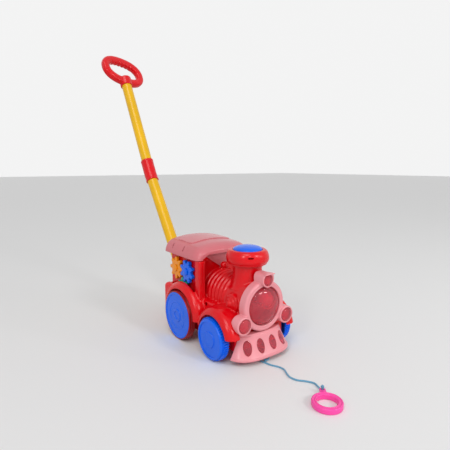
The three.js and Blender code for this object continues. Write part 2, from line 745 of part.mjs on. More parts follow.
// Base plate: a floor inside the hull, with a bearing post on both sides of each axle.
function basePlate() {
  const top = hull.bottom + base.thickness;
  const half = hull.half - wall - gap;
  const height = [hull.bottom, top];
  const floor = block([-half, half], [hull.front + wall + gap, hull.back - wall - gap], height);
  const tongue = block([-eye.half, eye.half], [eye.front, hull.front + wall + over], height);
  const [from, to] = [bearing.x - bearing.width / 2, bearing.x + bearing.width / 2];
  const posts = [frontWheel, rearWheel].map(({ y, radius }) => {
    const round = arc([y, radius], [bearing.radius, bearing.radius], 0, 180, facets.small / 2);
    const foot = [[y - bearing.radius, hull.bottom], [y + bearing.radius, hull.bottom]];
    return bothSides(alongX([...round, ...foot], [from, to]));
  });
  const inside = block([-half, half], [hull.front, hull.back], [0, cab.top]);
  const pads = basePlaces.map(({ x, y }) =>
    turnedZ(rod(base.padRadius, hull.bottom, hull.bottom + base.pad), x, y, facets.small).intersect(inside),
  );
  const headRoom = hull.bottom + screw.headHeight + 2 * gap;
  const axleHoles = [frontWheel, rearWheel].map(({ y, radius }) =>
    turnedX(rod(axle.radius + run, -hull.half, hull.half), y, radius, facets.small),
  );
  const screwHoles = basePlaces.flatMap(({ x, y }) => [
    turnedZ(rod(screw.head + gap, hull.bottom - over, headRoom), x, y, facets.tiny),
    turnedZ(rod(screw.shank + run, hull.bottom, hull.bottom + base.pad + over), x, y, facets.tiny),
  ]);
  const eyeHole = turnedZ(rod(eye.radius, hull.bottom - over, top + over), 0, eye.y, facets.small);
  return union(floor, tongue, posts, pads).subtract(union(axleHoles, screwHoles, eyeHole));
}
piece("base_plate", basePlate(), "red");

// Screws: a low pan head with a cross slot, head down, with its point up.
function screwBody(length) {
  const { head, headHeight, shank, slot, slotDepth } = screw;
  const profile = [
    [0, 0],
    [head, 0],
    [head, headHeight],
    [shank, headHeight],
    [shank, headHeight + length - shank],
    [0, headHeight + length],
  ];
  const [narrow, wide] = [slot / 2, head - slot];
  const slots = union(
    block([-narrow, narrow], [-wide, wide], [-over, slotDepth]),
    block([-wide, wide], [-narrow, narrow], [-over, slotDepth]),
  );
  return turnedZ(profile, 0, 0, facets.tiny).subtract(slots);
}

for (const { side, end, x, y } of basePlaces) {
  const shankLength = bossFoot + baseScrew.length - hull.bottom - screw.headHeight - 2 * gap;
  const placedScrew = geometryOf(screwBody(shankLength)).translate(x, y, hull.bottom + gap);
  piece(`base_screw_${end}_${side < 0 ? "right" : "left"}`, solid(placedScrew), "steel");
}

for (const [name, { y, z }] of Object.entries(sideScrewPlaces)) {
  const laid = geometryOf(screwBody(sideScrew.length - 2 * gap)).rotateY(Math.PI / 2);
  const x = sideScrew.seat - gap - screw.headHeight;
  piece(`side_screw_${name}`, solid(laid.translate(x, y, z)), "steel");
}

// Height of the roof's ridge at a place along the toy.
function crownAt(y) {
  const share = Math.max(0, (y - roof.crest) / (roof.back - roof.crest));
  return roof.crown - roof.fall * share ** 2;
}

// Roof: a skin over stations from the nose to the tail. With an inset it is the space inside.
function roofForm(inset) {
  const stations = [];
  const add = (y, top, half) => stations.push({ y, top: top - inset, half: half - inset });
  for (let i = nose.steps; i >= 0; i--) {
    const turn = (Math.PI * i) / (2 * nose.steps);
    const drawn = 1 - Math.cos(turn);
    const y = nose.start - (nose.length - inset) * Math.sin(turn);
    add(y, roof.crown - nose.drop * drawn, roof.half - nose.narrow * drawn);
  }
  add(roof.crest, roof.crown, roof.half);
  for (const share of roofStretchShares) {
    const y = lerp(roof.crest, tail.start, share);
    add(y, crownAt(y), roof.half);
  }
  for (let i = 1; i <= tail.steps; i++) {
    const turn = (Math.PI * i) / (2 * tail.steps);
    const drawn = 1 - Math.cos(turn);
    const y = tail.start + (tail.length - inset) * Math.sin(turn);
    add(y, crownAt(y) - tail.drop * drawn, roof.half - tail.narrow * drawn);
  }
  const bottom = roof.eave - (inset > 0 ? over : 0);
  const rings = stations.map(({ y, top, half }) => {
    const right = roofShares.filter((_, i) => inset <= 0 || i % 2 === 0).map(([across, up], i) => {
      const z = i === 0 ? bottom : lerp(roof.eave, top, up);
      return new THREE.Vector3(-half * across, y, z);
    });
    const left = right.slice(0, -1).map((place) => new THREE.Vector3(-place.x, place.y, place.z));
    return [...right, ...left.reverse()];
  });
  return loft(rings);
}

// A rectangle with rounded corners in X-Y.
function roundedPlan({ half, front, back, corner }) {
  const round = [corner, corner];
  return [
    ...arc([half - corner, back - corner], round, 0, 90, 2),
    ...arc([corner - half, back - corner], round, 90, 180, 2),
    ...arc([corner - half, front + corner], round, 180, 270, 2),
    ...arc([half - corner, front + corner], round, 270, 360, 2),
  ];
}

const mirroredOutline = (points) => [...points, ...points.map(([u, v]) => [-u, v]).reverse()];

// A rod square to the skin that cuts one slot.
function roofSlotRod(y) {
  const { width, beyond, deep } = roofSlot;
  const skinAt = ([across, up]) => [roof.half * across, lerp(roof.eave, crownAt(y), up)];
  const top = skinAt(roofShares[roofSlot.topShare]);
  const end = skinAt(roofShares[roofSlot.endShare]);
  const slope = Math.atan2(top[1] - end[1], end[0] - top[0]);
  const [alongU, alongV] = [beyond * Math.cos(slope), beyond * Math.sin(slope)];
  const [deepU, deepV] = [deep * Math.sin(slope), deep * Math.cos(slope)];
  const points = [
    [top[0] - alongU - deepU, top[1] + alongV - deepV],
    [end[0] + alongU - deepU, end[1] - alongV - deepV],
    [end[0] + alongU + deepU, end[1] - alongV + deepV],
    [top[0] - alongU + deepU, top[1] + alongV + deepV],
  ];
  return alongY(points, [y - width / 2, y + width / 2]);
}

function roofBody() {
  const panelColumn = alongZ(roundedPlan(panel), [roof.eave + wall, roof.crown + over]);
  const whole = union(roofForm(0), roofForm(-panel.rise).intersect(panelColumn));
  const slots = [roofSlot.firstY, roofSlot.secondY].map((y) => bothSides(roofSlotRod(y)));
  const archPoints = [[-arch.half, roof.eave - over], [-arch.half, arch.end], [-arch.flatHalf, arch.top]];
  const front = nose.start - nose.length;
  const frontArch = alongY(mirroredOutline(archPoints), [front - over, front + arch.depth]);
  const skin = whole.subtract(union(roofForm(wall), slots, frontArch));

  const visorPoints = [
    [-visor.half, roof.crown],
    [-visor.half, visor.top],
    [-visor.shoulderHalf, visor.shoulder],
    [-visor.tipHalf, visor.tip],
  ];
  const visorBack = cab.front - gap;
  const visorPlate = alongY(mirroredOutline(visorPoints), [visorBack - visor.thickness, visorBack]);
  const { half, back } = hull;
  const frame = block([-half, half], [cab.front, back], [cab.top + gap, roof.crown]).subtract(
    block([wall - half, half - wall], [cab.front + wall, back - wall], [cab.top, roof.crown]),
  );
  const inside = half - wall - gap;
  const tabs = [roofTab.frontY, roofTab.backY].map((y) =>
    bothSides(
      block(
        [inside - roofTab.thickness, inside],
        [y, y + roofTab.length],
        [cab.top - roofTab.drop, roof.crown],
      ),
    ),
  );
  const below = block([-half, half], [hull.front, back], [0, roof.eave + over]);
  const within = union(roofForm(wall / 2), below);
  return union(skin, union(visorPlate, frame, tabs).intersect(within));
}
piece("roof", roofBody(), "pink");

// Face ring with the seats of the window and the lamps

function lampSeatOf(lamp) {
  const floor = lamp.front + lampSeat.depth;
  return union(
    turnedY(rod(lamp.lens + gap, lamp.front - over, floor), lamp.x, lamp.z, facets.middle),
    turnedY(rod(lamp.lens, floor + lampSeat.floor, hull.front + over), lamp.x, lamp.z, facets.middle),
  );
}

function faceRing() {
  const back = boiler.front - gap;
  const bore = pane.radius + gap;
  const ledge = pane.rim + pane.foot + gap;
  const spigotOuter = boiler.radius - wall - gap;
  const grooveOuter = face.radius - wall;
  const grooveFront = face.front + face.round;
  const profile = [
    [grooveOuter, back],
    [face.radius, back],
    ...arc([face.radius - face.round, grooveFront], [face.round, face.round], 0, -90, 2),
    [bore + face.lip, face.front],
    [bore, face.front + face.bevel],
    [bore, ledge],
    [bore - pane.ledge, ledge],
    [bore - pane.ledge, ledge + wall],
    [spigotOuter - face.spigotWall, back + face.spigot],
    [spigotOuter, back + face.spigot],
    [spigotOuter, grooveFront],
    [grooveOuter, grooveFront],
    [grooveOuter, back],
  ];
  const ring = turnedY(profile, 0, boiler.z, facets.large);
  const lampBack = hull.front - gap;
  const lowProfile = [
    [0, lampBack],
    [lowLamp.radius, lampBack],
    [lowLamp.radius, lowLamp.front + lowLamp.round],
    [lowLamp.radius - lowLamp.round, lowLamp.front],
    [0, lowLamp.front],
  ];
  const low = turnedY(lowProfile, lowLamp.x, lowLamp.z, facets.middle);
  const { radius, z, hood, corner } = highLamp;
  const highPoints = [
    ...arc([0, z], [radius, radius], 180, 360, 8),
    ...arc([radius - corner, hood - corner], [corner, corner], 0, 90, 2),
    ...arc([corner - radius, hood - corner], [corner, corner], 90, 180, 2),
  ];
  const high = alongY(highPoints, [highLamp.front, back]);
  const windowSpace = turnedY(rod(bore, face.front - over, back), 0, boiler.z, facets.large);
  const whole = union(ring, union(bothSides(low), high).subtract(windowSpace));
  const hullAir = block(
    [-hull.half - gap, hull.half + gap],
    [hull.front - gap, hull.front + over],
    [0, hull.shoulder + guard.rise + gap],
  ).subtract(turnedY(rod(spigotOuter, hull.front - over, hull.back), 0, boiler.z, facets.large));
  const seats = union(bothSides(lampSeatOf(lowLamp)), lampSeatOf(highLamp).subtract(windowSpace));
  return whole.subtract(union(seats, hullAir, guardClearance()));
}
piece("face_ring", faceRing(), "pink");

// Window and lamp lenses: thin domes on a short rim.
function domeBody(radius, rim, foot, rise, skin, x, z, count, steps) {
  const inner = radius - skin;
  const profile = [
    [inner, rim + foot],
    [radius, rim + foot],
    ...arc([0, rim], [radius, rise], 0, -90 + 90 / steps, steps - 1),
    [0, rim - rise],
    [0, rim - rise + skin],
    ...arc([0, rim], [inner, rise - skin], -90 + 90 / steps, 0, steps - 1),
    [inner, rim + foot],
  ];
  return turnedY(profile, x, z, count);
}
const paneBody = domeBody(pane.radius, pane.rim, pane.foot, pane.rise, pane.skin, 0, boiler.z, facets.large, 3);
piece("window_dome", paneBody, "clearRed");

function lens(lamp) {
  const rim = lamp.front + lampSeat.depth - gap - lampSeat.foot;
  return domeBody(lamp.lens, rim, lampSeat.foot, lamp.rise, lampSeat.skin, lamp.x, lamp.z, facets.middle, 3);
}
pair("lamp_lens_low", lens(lowLamp), "clearRed");
piece("lamp_lens_high", lens(highLamp), "clearRed");

// Cradle: a plate across the boiler behind the ring's spigot, with a trough that the ball lies in.
function cradleBody() {
  const front = boiler.front + face.spigot;
  const back = front + cradle.plate;
  const plate = turnedY(rod(boiler.radius - wall - gap, front, back), 0, boiler.z, facets.large);
  const seat = ball.radius + gap;
  const mouth = front - cradle.length;
  const trough = turnedY(pipe(seat, seat + cradle.trough, mouth, back), ball.x, ball.z, facets.large);
  const low = block(
    [ball.x - cradle.spread, ball.x + cradle.spread],
    [mouth - over, back],
    [0, ball.z - cradle.low],
  );
  return union(plate, trough.intersect(low));
}
piece("ball_cradle", cradleBody(), "red");
const ballForm = new THREE.SphereGeometry(ball.radius, facets.middle, facets.middle / 2);
piece("pop_ball", solid(ballForm.translate(ball.x, ball.y, ball.z)), "pale");

// Cowcatcher

// Sizes of the cowcatcher's plan at a height.
function plowAt(z) {
  const height = THREE.MathUtils.clamp((z - plowZ.wallFoot) / (plowZ.wallTop - plowZ.wallFoot), 0, 1);
  const drawn = 1 - (1 - height) ** plowCurve.flare;
  const between = (key) => lerp(plowFoot[key], plowTop[key], drawn);
  return { half: between("half"), deep: between("deep"), middle: between("middle") };
}

function plowRing(z, out) {
  const { half, deep, middle } = plowAt(z);
  const bent = (value) => Math.sign(value) * Math.abs(value) ** (2 / plowCurve.power);
  return Array.from({ length: plowCurve.steps + 1 }, (_, i) => {
    const turn = (Math.PI * i) / plowCurve.steps;
    const y = middle - (deep + out) * bent(Math.abs(Math.sin(turn)));
    return new THREE.Vector3((half + out) * bent(Math.cos(turn)), y, z);
  });
}

// The outer form, or with an inset the space inside it, open below.
function plowForm(inset) {
  const levels = [];
  if (inset > 0) {
    levels.push([plowZ.floor - over, -inset], [plowZ.wallFoot, -inset]);
  } else {
    levels.push([plowZ.floor, plowOut.lip - plowOut.lipRound - inset]);
    levels.push([plowZ.floor + plowOut.lipRound, plowOut.lip - inset]);
    levels.push([plowZ.lip, plowOut.lip - inset], [plowZ.wallFoot, -inset]);
  }
  for (const share of plowWallShares) {
    levels.push([lerp(plowZ.wallFoot, plowZ.wallTop, share), -inset]);
  }
  levels.push([plowZ.wallTop - Math.max(0, inset - plowOut.step), -inset]);
  if (inset <= 0) {
    levels.push([plowZ.step, -plowOut.step - inset], [plowZ.top, -plowOut.step - inset]);
  }
  return loft(levels.map(([z, out]) => plowRing(z, out)));
}

// An oval rod through the wall at a place across it, square to the wall in plan.
function ovalRod(x, grow) {
  const { half, deep, middle } = plowAt(oval.z);
  const power = plowCurve.power;
  const out = (1 - (Math.abs(x) / half) ** power) ** (1 / power);
  const normal = [(Math.sign(x) * (Math.abs(x) / half) ** (power - 1)) / half, out ** (power - 1) / deep];
  const turn = Math.atan2(...normal);
  const lastTurn = 360 - 360 / oval.points;
  const reaches = [oval.width / 2 + grow, oval.height / 2 + grow];
  const shape = outline(arc([0, 0], reaches, 0, lastTurn, oval.points - 1));
  const made = push(shape, 2 * oval.reach).translate(0, 0, -oval.reach).rotateX(Math.PI / 2).rotateZ(turn);
  return solid(made.translate(x, middle - deep * out, oval.z));
}

function cowcatcherBody() {
  const beforeHull = block([-outerFace, outerFace], [hull.front * 2, hull.front - gap], [0, cab.top]);
  const rods = union(ovalPlaces.map((x) => ovalRod(x, 0)));
  return plowForm(0).intersect(beforeHull).subtract(union(plowForm(wall), rods, guardClearance()));
}
piece("cowcatcher", cowcatcherBody(), "pink");

ovalPlaces.forEach((x, i) => {
  const behind = wall + gap;
  const deepest = plowForm(behind + oval.flangeSkin);
  const plug = ovalRod(x, -gap).intersect(plowForm(-oval.proud));
  const flange = ovalRod(x, oval.flange).intersect(plowForm(behind));
  piece(`cowcatcher_insert_${i + 1}`, union(plug, flange).subtract(deepest), "clearRed");
});

// Chimney cap: a hollow ring with a floor, which rests on the neck with a collar round it.
function capBody() {
  const inner = cap.mouth + wall;
  const floorTop = cap.bottom + wall;
  const profile = [
    [0, cap.bottom],
    [neck.radius + gap, cap.bottom],
    [neck.radius + gap, cap.bottom - cap.collar],
    [inner, cap.bottom - cap.collar],
    [inner, cap.belly + over],
    [cap.radius - wall, cap.belly],
    [cap.foot - wall, cap.bottom],
    [cap.foot, cap.bottom],
    ...arc([cap.lip, cap.belly], [cap.radius - cap.lip, cap.belly - cap.bottom], -55, 0, 2),
    ...arc([cap.lip, cap.belly], [cap.radius - cap.lip, cap.top - cap.belly], 22, 90, 3),
    [cap.mouth, cap.top],
    [cap.mouth, floorTop],
    [0, floorTop],
  ];
  const slot = block(
    [-capSlot.width / 2, capSlot.width / 2],
    [-cap.radius - over, capSlot.depth - cap.radius],
    [capSlot.z - capSlot.height / 2, capSlot.z + capSlot.height / 2],
  );
  const slots = [capSlot.turn, capSlot.turn + 180].map((turn) =>
    solid(geometryOf(slot).rotateZ(radians(turn)).translate(0, neck.y, 0)),
  );
  const stemRoom = rod(button.stem + run, cap.bottom - over, floorTop + over);
  const stemHole = turnedZ(stemRoom, 0, neck.y, facets.small);
  return turnedZ(profile, 0, neck.y, facets.large).subtract(union(slots, stemHole));
}
piece("chimney_cap", capBody(), "red");

// Button: a dome on a stem whose barbed end holds it under the cap's floor.
function buttonBody() {
  const { radius, rim, rise, skirt, skin, stem, barb, barbHeight } = button;
  const barbTop = cap.bottom - gap;
  const inner = radius - skin;
  const stemProfile = [
    [0, barbTop - barbHeight],
    [stem, barbTop - barbHeight],
    [stem + barb, barbTop - barb / 2],
    [stem + barb, barbTop],
    [stem, barbTop],
    [stem, rim + rise - skin],
    [0, rim + rise - skin],
  ];
  const crown = [
    [0, rim + rise - skin],
    ...arc([0, rim - skin], [inner, rise], 60, 0, 2),
    [inner, rim - skirt],
    [radius, rim - skirt],
    ...arc([0, rim], [radius, rise], 0, 90, 4),
  ];
  return union(turnedZ(stemProfile, 0, neck.y, facets.small), turnedZ(crown, 0, neck.y, facets.large));
}
piece("horn_button", buttonBody(), "blue");

class Helix extends THREE.Curve {
  getPoint(share, target = new THREE.Vector3()) {
    const turn = 2 * Math.PI * springWire.turns * share;
    const low = cap.bottom + wall + gap + springWire.radius;
    const high = button.rim + button.rise / 2 - button.skin - springWire.radius;
    return target.set(
      springWire.coil * Math.cos(turn),
      neck.y + springWire.coil * Math.sin(turn),
      lerp(low, high, share),
    );
  }
}
const springSteps = springWire.turns * springWire.steps;
piece("button_spring", cordAlong(new Helix(), springWire.radius, facets.spring, springSteps), "steel");

// Wheels and their axles. Wheels are made on the left.

const rearRimFace = outerFace - cover.crown;
const rearSeat = rearRimFace - cover.depth;
const frontBoreEnd = outerFace - wheelHub.boreWall;
const rearBoreEnd = rearSeat - wheelHub.boreWall;

// What the moulding leaves open behind a wheel's web, and its bore.
function wheelHollow(wheel, innerFace, webBack, boreEnd) {
  const room = pipe(wheelHub.radius, wheel.radius - wheelHub.rimWall, innerFace - over, webBack);
  const bore = rod(axle.radius + axle.seat, innerFace - over, boreEnd);
  return union(
    turnedX(room, wheel.y, wheel.radius, facets.middle),
    turnedX(bore, wheel.y, wheel.radius, facets.small),
  );
}

function frontWheelBody() {
  const { radius, width, y, ribs, ribHeight, ribbed, rimDrop } = frontWheel;
  const innerFace = outerFace - width;
  const rim = radius - rimDrop;
  const faceX = outerFace - wheelHub.relief;
  const profile = [
    [0, innerFace],
    [rim, innerFace],
    [rim, outerFace - wheelHub.rimBevel],
    [rim - wheelHub.rimBevel, outerFace],
    [rim - 2 * wheelHub.rimBevel, outerFace],
    [rim - 2 * wheelHub.rimBevel, faceX],
    [wheelHub.ring, faceX],
    [wheelHub.ring - wheelHub.relief, outerFace],
    [0, outerFace],
  ];
  const treadPoints = [];
  for (let i = 0; i < ribs; i++) {
    const middle = (2 * Math.PI * i) / ribs;
    for (const [share, depth] of ribShares) {
      const at = radius - ribHeight * depth;
      const turn = middle + (2 * Math.PI * share) / ribs;
      treadPoints.push([y + at * Math.cos(turn), radius + at * Math.sin(turn)]);
    }
  }
  const tread = alongX(treadPoints, [innerFace, innerFace + ribbed]);
  const whole = union(tread, turnedX(profile, y, radius, facets.large));
  return whole.subtract(wheelHollow(frontWheel, innerFace, faceX - wall, frontBoreEnd));
}
pair("front_wheel", frontWheelBody(), "blue");

function rearWheelBody() {
  const { radius, width, y, chamfer } = rearWheel;
  const innerFace = rearRimFace - width;
  const seat = cover.radius + gap;
  const profile = [
    [0, innerFace],
    [radius - chamfer, innerFace],
    [radius, innerFace + chamfer],
    [radius, rearRimFace - chamfer],
    [radius - chamfer, rearRimFace],
    [seat, rearRimFace],
    [seat, rearSeat],
    [0, rearSeat],
  ];
  const whole = turnedX(profile, y, radius, facets.large);
  return whole.subtract(wheelHollow(rearWheel, innerFace, rearSeat - wall, rearBoreEnd));
}
pair("rear_wheel", rearWheelBody(), "red");

function coverBody() {
  const { radius, rim, relief, boss } = cover;
  const profile = [
    [0, rearSeat + gap],
    [radius, rearSeat + gap],
    [radius, outerFace - relief],
    [radius - relief, outerFace],
    [radius - rim, outerFace],
    [radius - rim - relief, outerFace - relief],
    [boss + relief, outerFace - relief],
    [boss, outerFace],
    [0, outerFace],
  ];
  return turnedX(profile, rearWheel.y, rearWheel.radius, facets.large);
}
pair("rear_wheel_cover", coverBody(), "blue");

function axleBody(wheel, boreEnd) {
  const end = boreEnd - axle.endPlay;
  const chamfer = axle.radius / 4;
  const profile = [
    [0, -end],
    [axle.radius - chamfer, -end],
    [axle.radius, chamfer - end],
    [axle.radius, end - chamfer],
    [axle.radius - chamfer, end],
    [0, end],
  ];
  return turnedX(profile, wheel.y, wheel.radius, facets.small);
}
piece("front_axle", axleBody(frontWheel, frontBoreEnd), "steel");
piece("rear_axle", axleBody(rearWheel, rearBoreEnd), "steel");

// The drive inside: a gear on the rear axle and a larger one on the shaft across the cab

function driveGearBody(teeth, turn, place, bore) {
  const { x, thickness, hub, hubLength } = driveGear;
  const points = gearPoints(teeth, driveModule, driveTooth, turn);
  const hubSleeve = turnedX(pipe(bore, hub, x - hubLength, x + hubLength), place.y, place.z, facets.small);
  return union(gear(points, place, x, thickness, bore), hubSleeve);
}
piece("axle_gear", driveGearBody(axleTeeth, 0, rearAxle, axle.radius + axle.seat), "yellow");
piece("shaft_gear", driveGearBody(shaftTeeth, shaftTurn, greenGear, shaft.radius + shaft.seat), "yellow");
const shaftRod = rod(shaft.radius, -shaft.end, shaft.end);
piece("gear_shaft", turnedX(shaftRod, greenGear.y, greenGear.z, facets.small), "steel");

// Gears in the sides of the cab, each big one on a stud with a cap that holds it

function windowGearBody(teeth, turn, place, bore) {
  const points = gearPoints(teeth, windowModule, windowTooth, turn);
  const { thickness, bevel } = windowGear;
  const blank = gearBlank(points, place, gearFace, thickness, bevel);
  return gear(points, place, gearFace, thickness, bore).intersect(blank);
}
const studBore = stud.radius + run;
pair("yellow_gear", windowGearBody(bigTeeth, yellowTurn, yellowGear, studBore), "orange");
pair("blue_gear", windowGearBody(bigTeeth, windowGear.blueTurn, blueGear, studBore), "blue");
pair("green_gear", windowGearBody(smallTeeth, greenTurn, greenGear, shaft.radius + shaft.seat), "green");

function gearCapBody({ y, z }) {
  const seat = studEnd + gap;
  const rim = seat + stud.headRim;
  const profile = [
    [0, hull.half],
    [stud.stem, hull.half],
    [stud.stem, seat],
    [stud.head, seat],
    [stud.head, rim],
    [stud.head / 2, rim + stud.dome],
    [0, rim + stud.dome],
  ];
  return turnedX(profile, y, z, facets.small);
}
pair("yellow_gear_cap", gearCapBody(yellowGear), "orange");
pair("blue_gear_cap", gearCapBody(blueGear), "blue");

// Handle

function couplerBody() {
  const { radius, below, above, stop, bead, beadLength } = coupler;
  const inner = tube.radius + gap;
  const beaded = radius + bead;
  const meet = radius * Math.tan(radians((tube.lowerLean - tube.upperLean) / 2));
  const lower = [
    [0, -below],
    [beaded, -below],
    [beaded, beadLength - below],
    [radius, beadLength + bead - below],
    [radius, meet],
    [0, meet],
  ];
  const upper = [
    [0, -meet],
    [radius, -meet],
    [radius, above - beadLength - bead],
    [beaded, above - beadLength],
    [beaded, above],
    [0, above],
  ];
  return union(
    leaning(lower, bend, tube.lowerLean, facets.middle),
    leaning(upper, bend, tube.upperLean, facets.middle),
  ).subtract(
    union(
      leaning(rod(inner, -below - over, -stop), bend, tube.lowerLean, facets.middle),
      leaning(rod(inner, stop, above + over), bend, tube.upperLean, facets.middle),
    ),
  );
}
const bore = tube.radius - tube.wall;
const lowerEnd = (socket.bottom - bend.z) * socketSlant + gap;
const lowerTube = pipe(bore, tube.radius, lowerEnd, -coupler.stop - gap);
const upperTube = pipe(bore, tube.radius, coupler.stop + gap, tube.upperLength - gap);
piece("handle_lower_tube", leaning(lowerTube, bend, tube.lowerLean, facets.middle), "yellow");
piece("handle_coupler", couplerBody(), "red");
piece("handle_upper_tube", leaning(upperTube, bend, tube.upperLean, facets.middle), "yellow");

// An oval of which the corners are fuller than an ellipse's.
function fullOval(half, high, steps) {
  const bent = (value) => Math.sign(value) * Math.abs(value) ** (2 / grip.power);
  return Array.from({ length: steps }, (_, i) => {
    const turn = (2 * Math.PI * i) / steps;
    return [half * bent(Math.cos(turn)), high * bent(Math.sin(turn))];
  });
}

// The grip's loop, turned a little about the tube. With an inset it is the space inside the loop.
function gripLoop(inset) {
  const { half, high, holeHalf, holeHigh, depth, bevel, turn } = grip;
  const steps = gripSteps[inset > 0 ? "inside" : "outside"];
  const shape = outline(fullOval(half - inset, high - inset, steps.rim));
  const hole = fullOval(holeHalf + inset, holeHigh + inset, steps.hole).map(([u, v]) => {
    const share = u / holeHalf;
    const finger = (gripHole.wave * (1 - Math.cos(2 * Math.PI * gripHole.waves * share))) / 2;
    const nub = gripHole.nub * Math.exp(-((u / gripHole.nubHalf) ** 2));
    return [u, v > 0 ? v - finger * (v / holeHigh) ** 2 : v + nub];
  });
  shape.holes.push(new THREE.Path(hole.map(([u, v]) => new THREE.Vector2(u, v))));
  const round = bevel - inset / 2;
  const made = new THREE.ExtrudeGeometry(shape, {
    depth: depth - 2 * inset - 2 * round,
    bevelThickness: round,
    bevelSize: round,
    bevelOffset: -round,
    bevelSegments: inset > 0 ? 1 : 2,
  });
  made.translate(0, 0, round + inset - depth / 2);
  const up = new THREE.Vector3(0, ...Object.values(alongLean({ y: 0, z: 0 }, tube.upperLean, 1)));
  const across = axisX.clone().multiplyScalar(Math.cos(radians(turn)));
  across.addScaledVector(up.clone().cross(axisX), Math.sin(radians(turn)));
  const centre = alongLean(bend, tube.upperLean, grip.start + high);
  const basis = new THREE.Matrix4().makeBasis(across, up, across.clone().cross(up));
  return solid(made.applyMatrix4(basis).translate(0, centre.y, centre.z));
}

function gripBody() {
  const { radius, start, crown, crownIn } = gripSleeve;
  const profile = [
    [0, start],
    [radius, start],
    [radius, tube.upperLength],
    [radius - crownIn, tube.upperLength + crown],
    [0, tube.upperLength + crown],
  ];
  const sleeve = leaning(profile, bend, tube.upperLean, facets.middle);
  const room = rod(tube.radius + gap, start - over, tube.upperLength);
  const boreRod = leaning(room, bend, tube.upperLean, facets.middle);
  return union(gripLoop(0), sleeve).subtract(union(gripLoop(wall), boreRod));
}
piece("grip", gripBody(), "red");

// Pull cord: from a knot above the tongue's eye down to the floor and in bends to the ring's lug

const lugWay = [Math.cos(radians(lug.turn)), Math.sin(radians(lug.turn))];
const alongLug = (distance, z) => [pullRing.x + lugWay[0] * distance, pullRing.y + lugWay[1] * distance, z];
const lugHole = lug.reach - lug.inset;
const eyeTop = hull.bottom + base.thickness;
const lugTop = lug.floor + lug.thickness;
const { lie } = cord;

const cordRoute = [
  [0, eye.y, eyeTop],
  [0, eye.y, hull.bottom - cord.radius],
  [-1.5, -103.2, 13],
  [-5.5, -105.4, 6],
  [-9.5, -108.6, 2.3],
  [-11, -112.5, lie],
  [-9.3, -119.4, lie],
  [-7.2, -130.1, lie],
  [-1.4, -142.6, lie],
  [-0.4, -152.5, lie],
  [-5.4, -163.5, lie],
  [-9.2, -174, lie],
  [-7, -185.9, lie],
  [0.3, -194.7, lie],
  [6.6, -206, lie],
  [4.5, -214.2, lie],
  [2.4, -220.6, lie],
  alongLug(lugHole + lug.inset, lie),
  alongLug(lugHole + cord.radius / 2, lug.floor - cord.radius / 2),
  alongLug(lugHole, lugTop - cord.radius),
  alongLug(lugHole, lugTop + gap),
];
piece("pull_cord", cordAlong(route(cordRoute), cord.radius, facets.cord, cord.steps), "cord");
const tailRoute = [
  [-3, -115.6, 2.2],
  [-0.4, -115.2, 1.7],
  [2.4, -114.4, lie],
  [4.6, -112.8, 1.9],
  [5.4, -111.6, 2.4],
];
piece("cord_tail", cordAlong(route(tailRoute), cord.radius, facets.cord, cord.tailSteps), "cord");

function knotAt(name, [x, y, z]) {
  const form = new THREE.SphereGeometry(cord.knot, facets.small, facets.knot);
  piece(name, solid(form.translate(x, y, z)), "cord");
}
knotAt("tow_knot", [0, eye.y, eyeTop + gap + cord.knot]);
knotAt("tail_knot", [-6, -116.2, cord.knot]);
knotAt("ring_knot", alongLug(lugHole, lugTop + 2 * gap + cord.knot));

function pullRingBody() {
  const { x, y, radius, hole, height, round, groove, grooveHalf } = pullRing;
  const middle = (radius + hole) / 2;
  const profile = [
    [hole + round, 0],
    [radius - round, 0],
    [radius, round],
    [radius, height - round],
    [radius - round, height],
    [middle + grooveHalf, height],
    [middle, height - groove],
    [middle - grooveHalf, height],
    [hole + round, height],
    [hole, height - round],
    [hole, round],
    [hole + round, 0],
  ];
  const tip = lug.reach - lug.half;
  const tipRound = arc([tip, 0], [lug.half, lug.half], -90, 90, 8);
  const plan = [[hole + round, -lug.half], ...tipRound, [hole + round, lug.half]];
  const tab = push(outline(plan), lug.thickness).rotateZ(radians(lug.turn)).translate(x, y, lug.floor);
  const [holeX, holeY] = alongLug(lugHole, 0);
  const lugBore = turnedZ(rod(lug.hole, 0, lugTop + over), holeX, holeY, facets.small);
  return union(turnedZ(profile, x, y, facets.large), solid(tab)).subtract(lugBore);
}
piece("pull_ring", pullRingBody(), "hotPink");

// Move the toy so that its middle, without the cord and what hangs on it, stands over the origin.
const cordNames = ["pull_cord", "cord_tail", "tow_knot", "tail_knot", "ring_knot", "pull_ring"];
const bounds = new THREE.Box3();
for (const mesh of toy.children) {
  if (!cordNames.includes(mesh.name)) bounds.expandByObject(mesh);
}
const middleY = (bounds.min.y + bounds.max.y) / 2;
for (const mesh of toy.children) {
  mesh.geometry.translate(0, -middleY, 0);
}

export default toy;
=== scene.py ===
import math
from types import SimpleNamespace as Sizes

import bmesh
import bpy
import numpy as np
from mathutils import Matrix, Vector


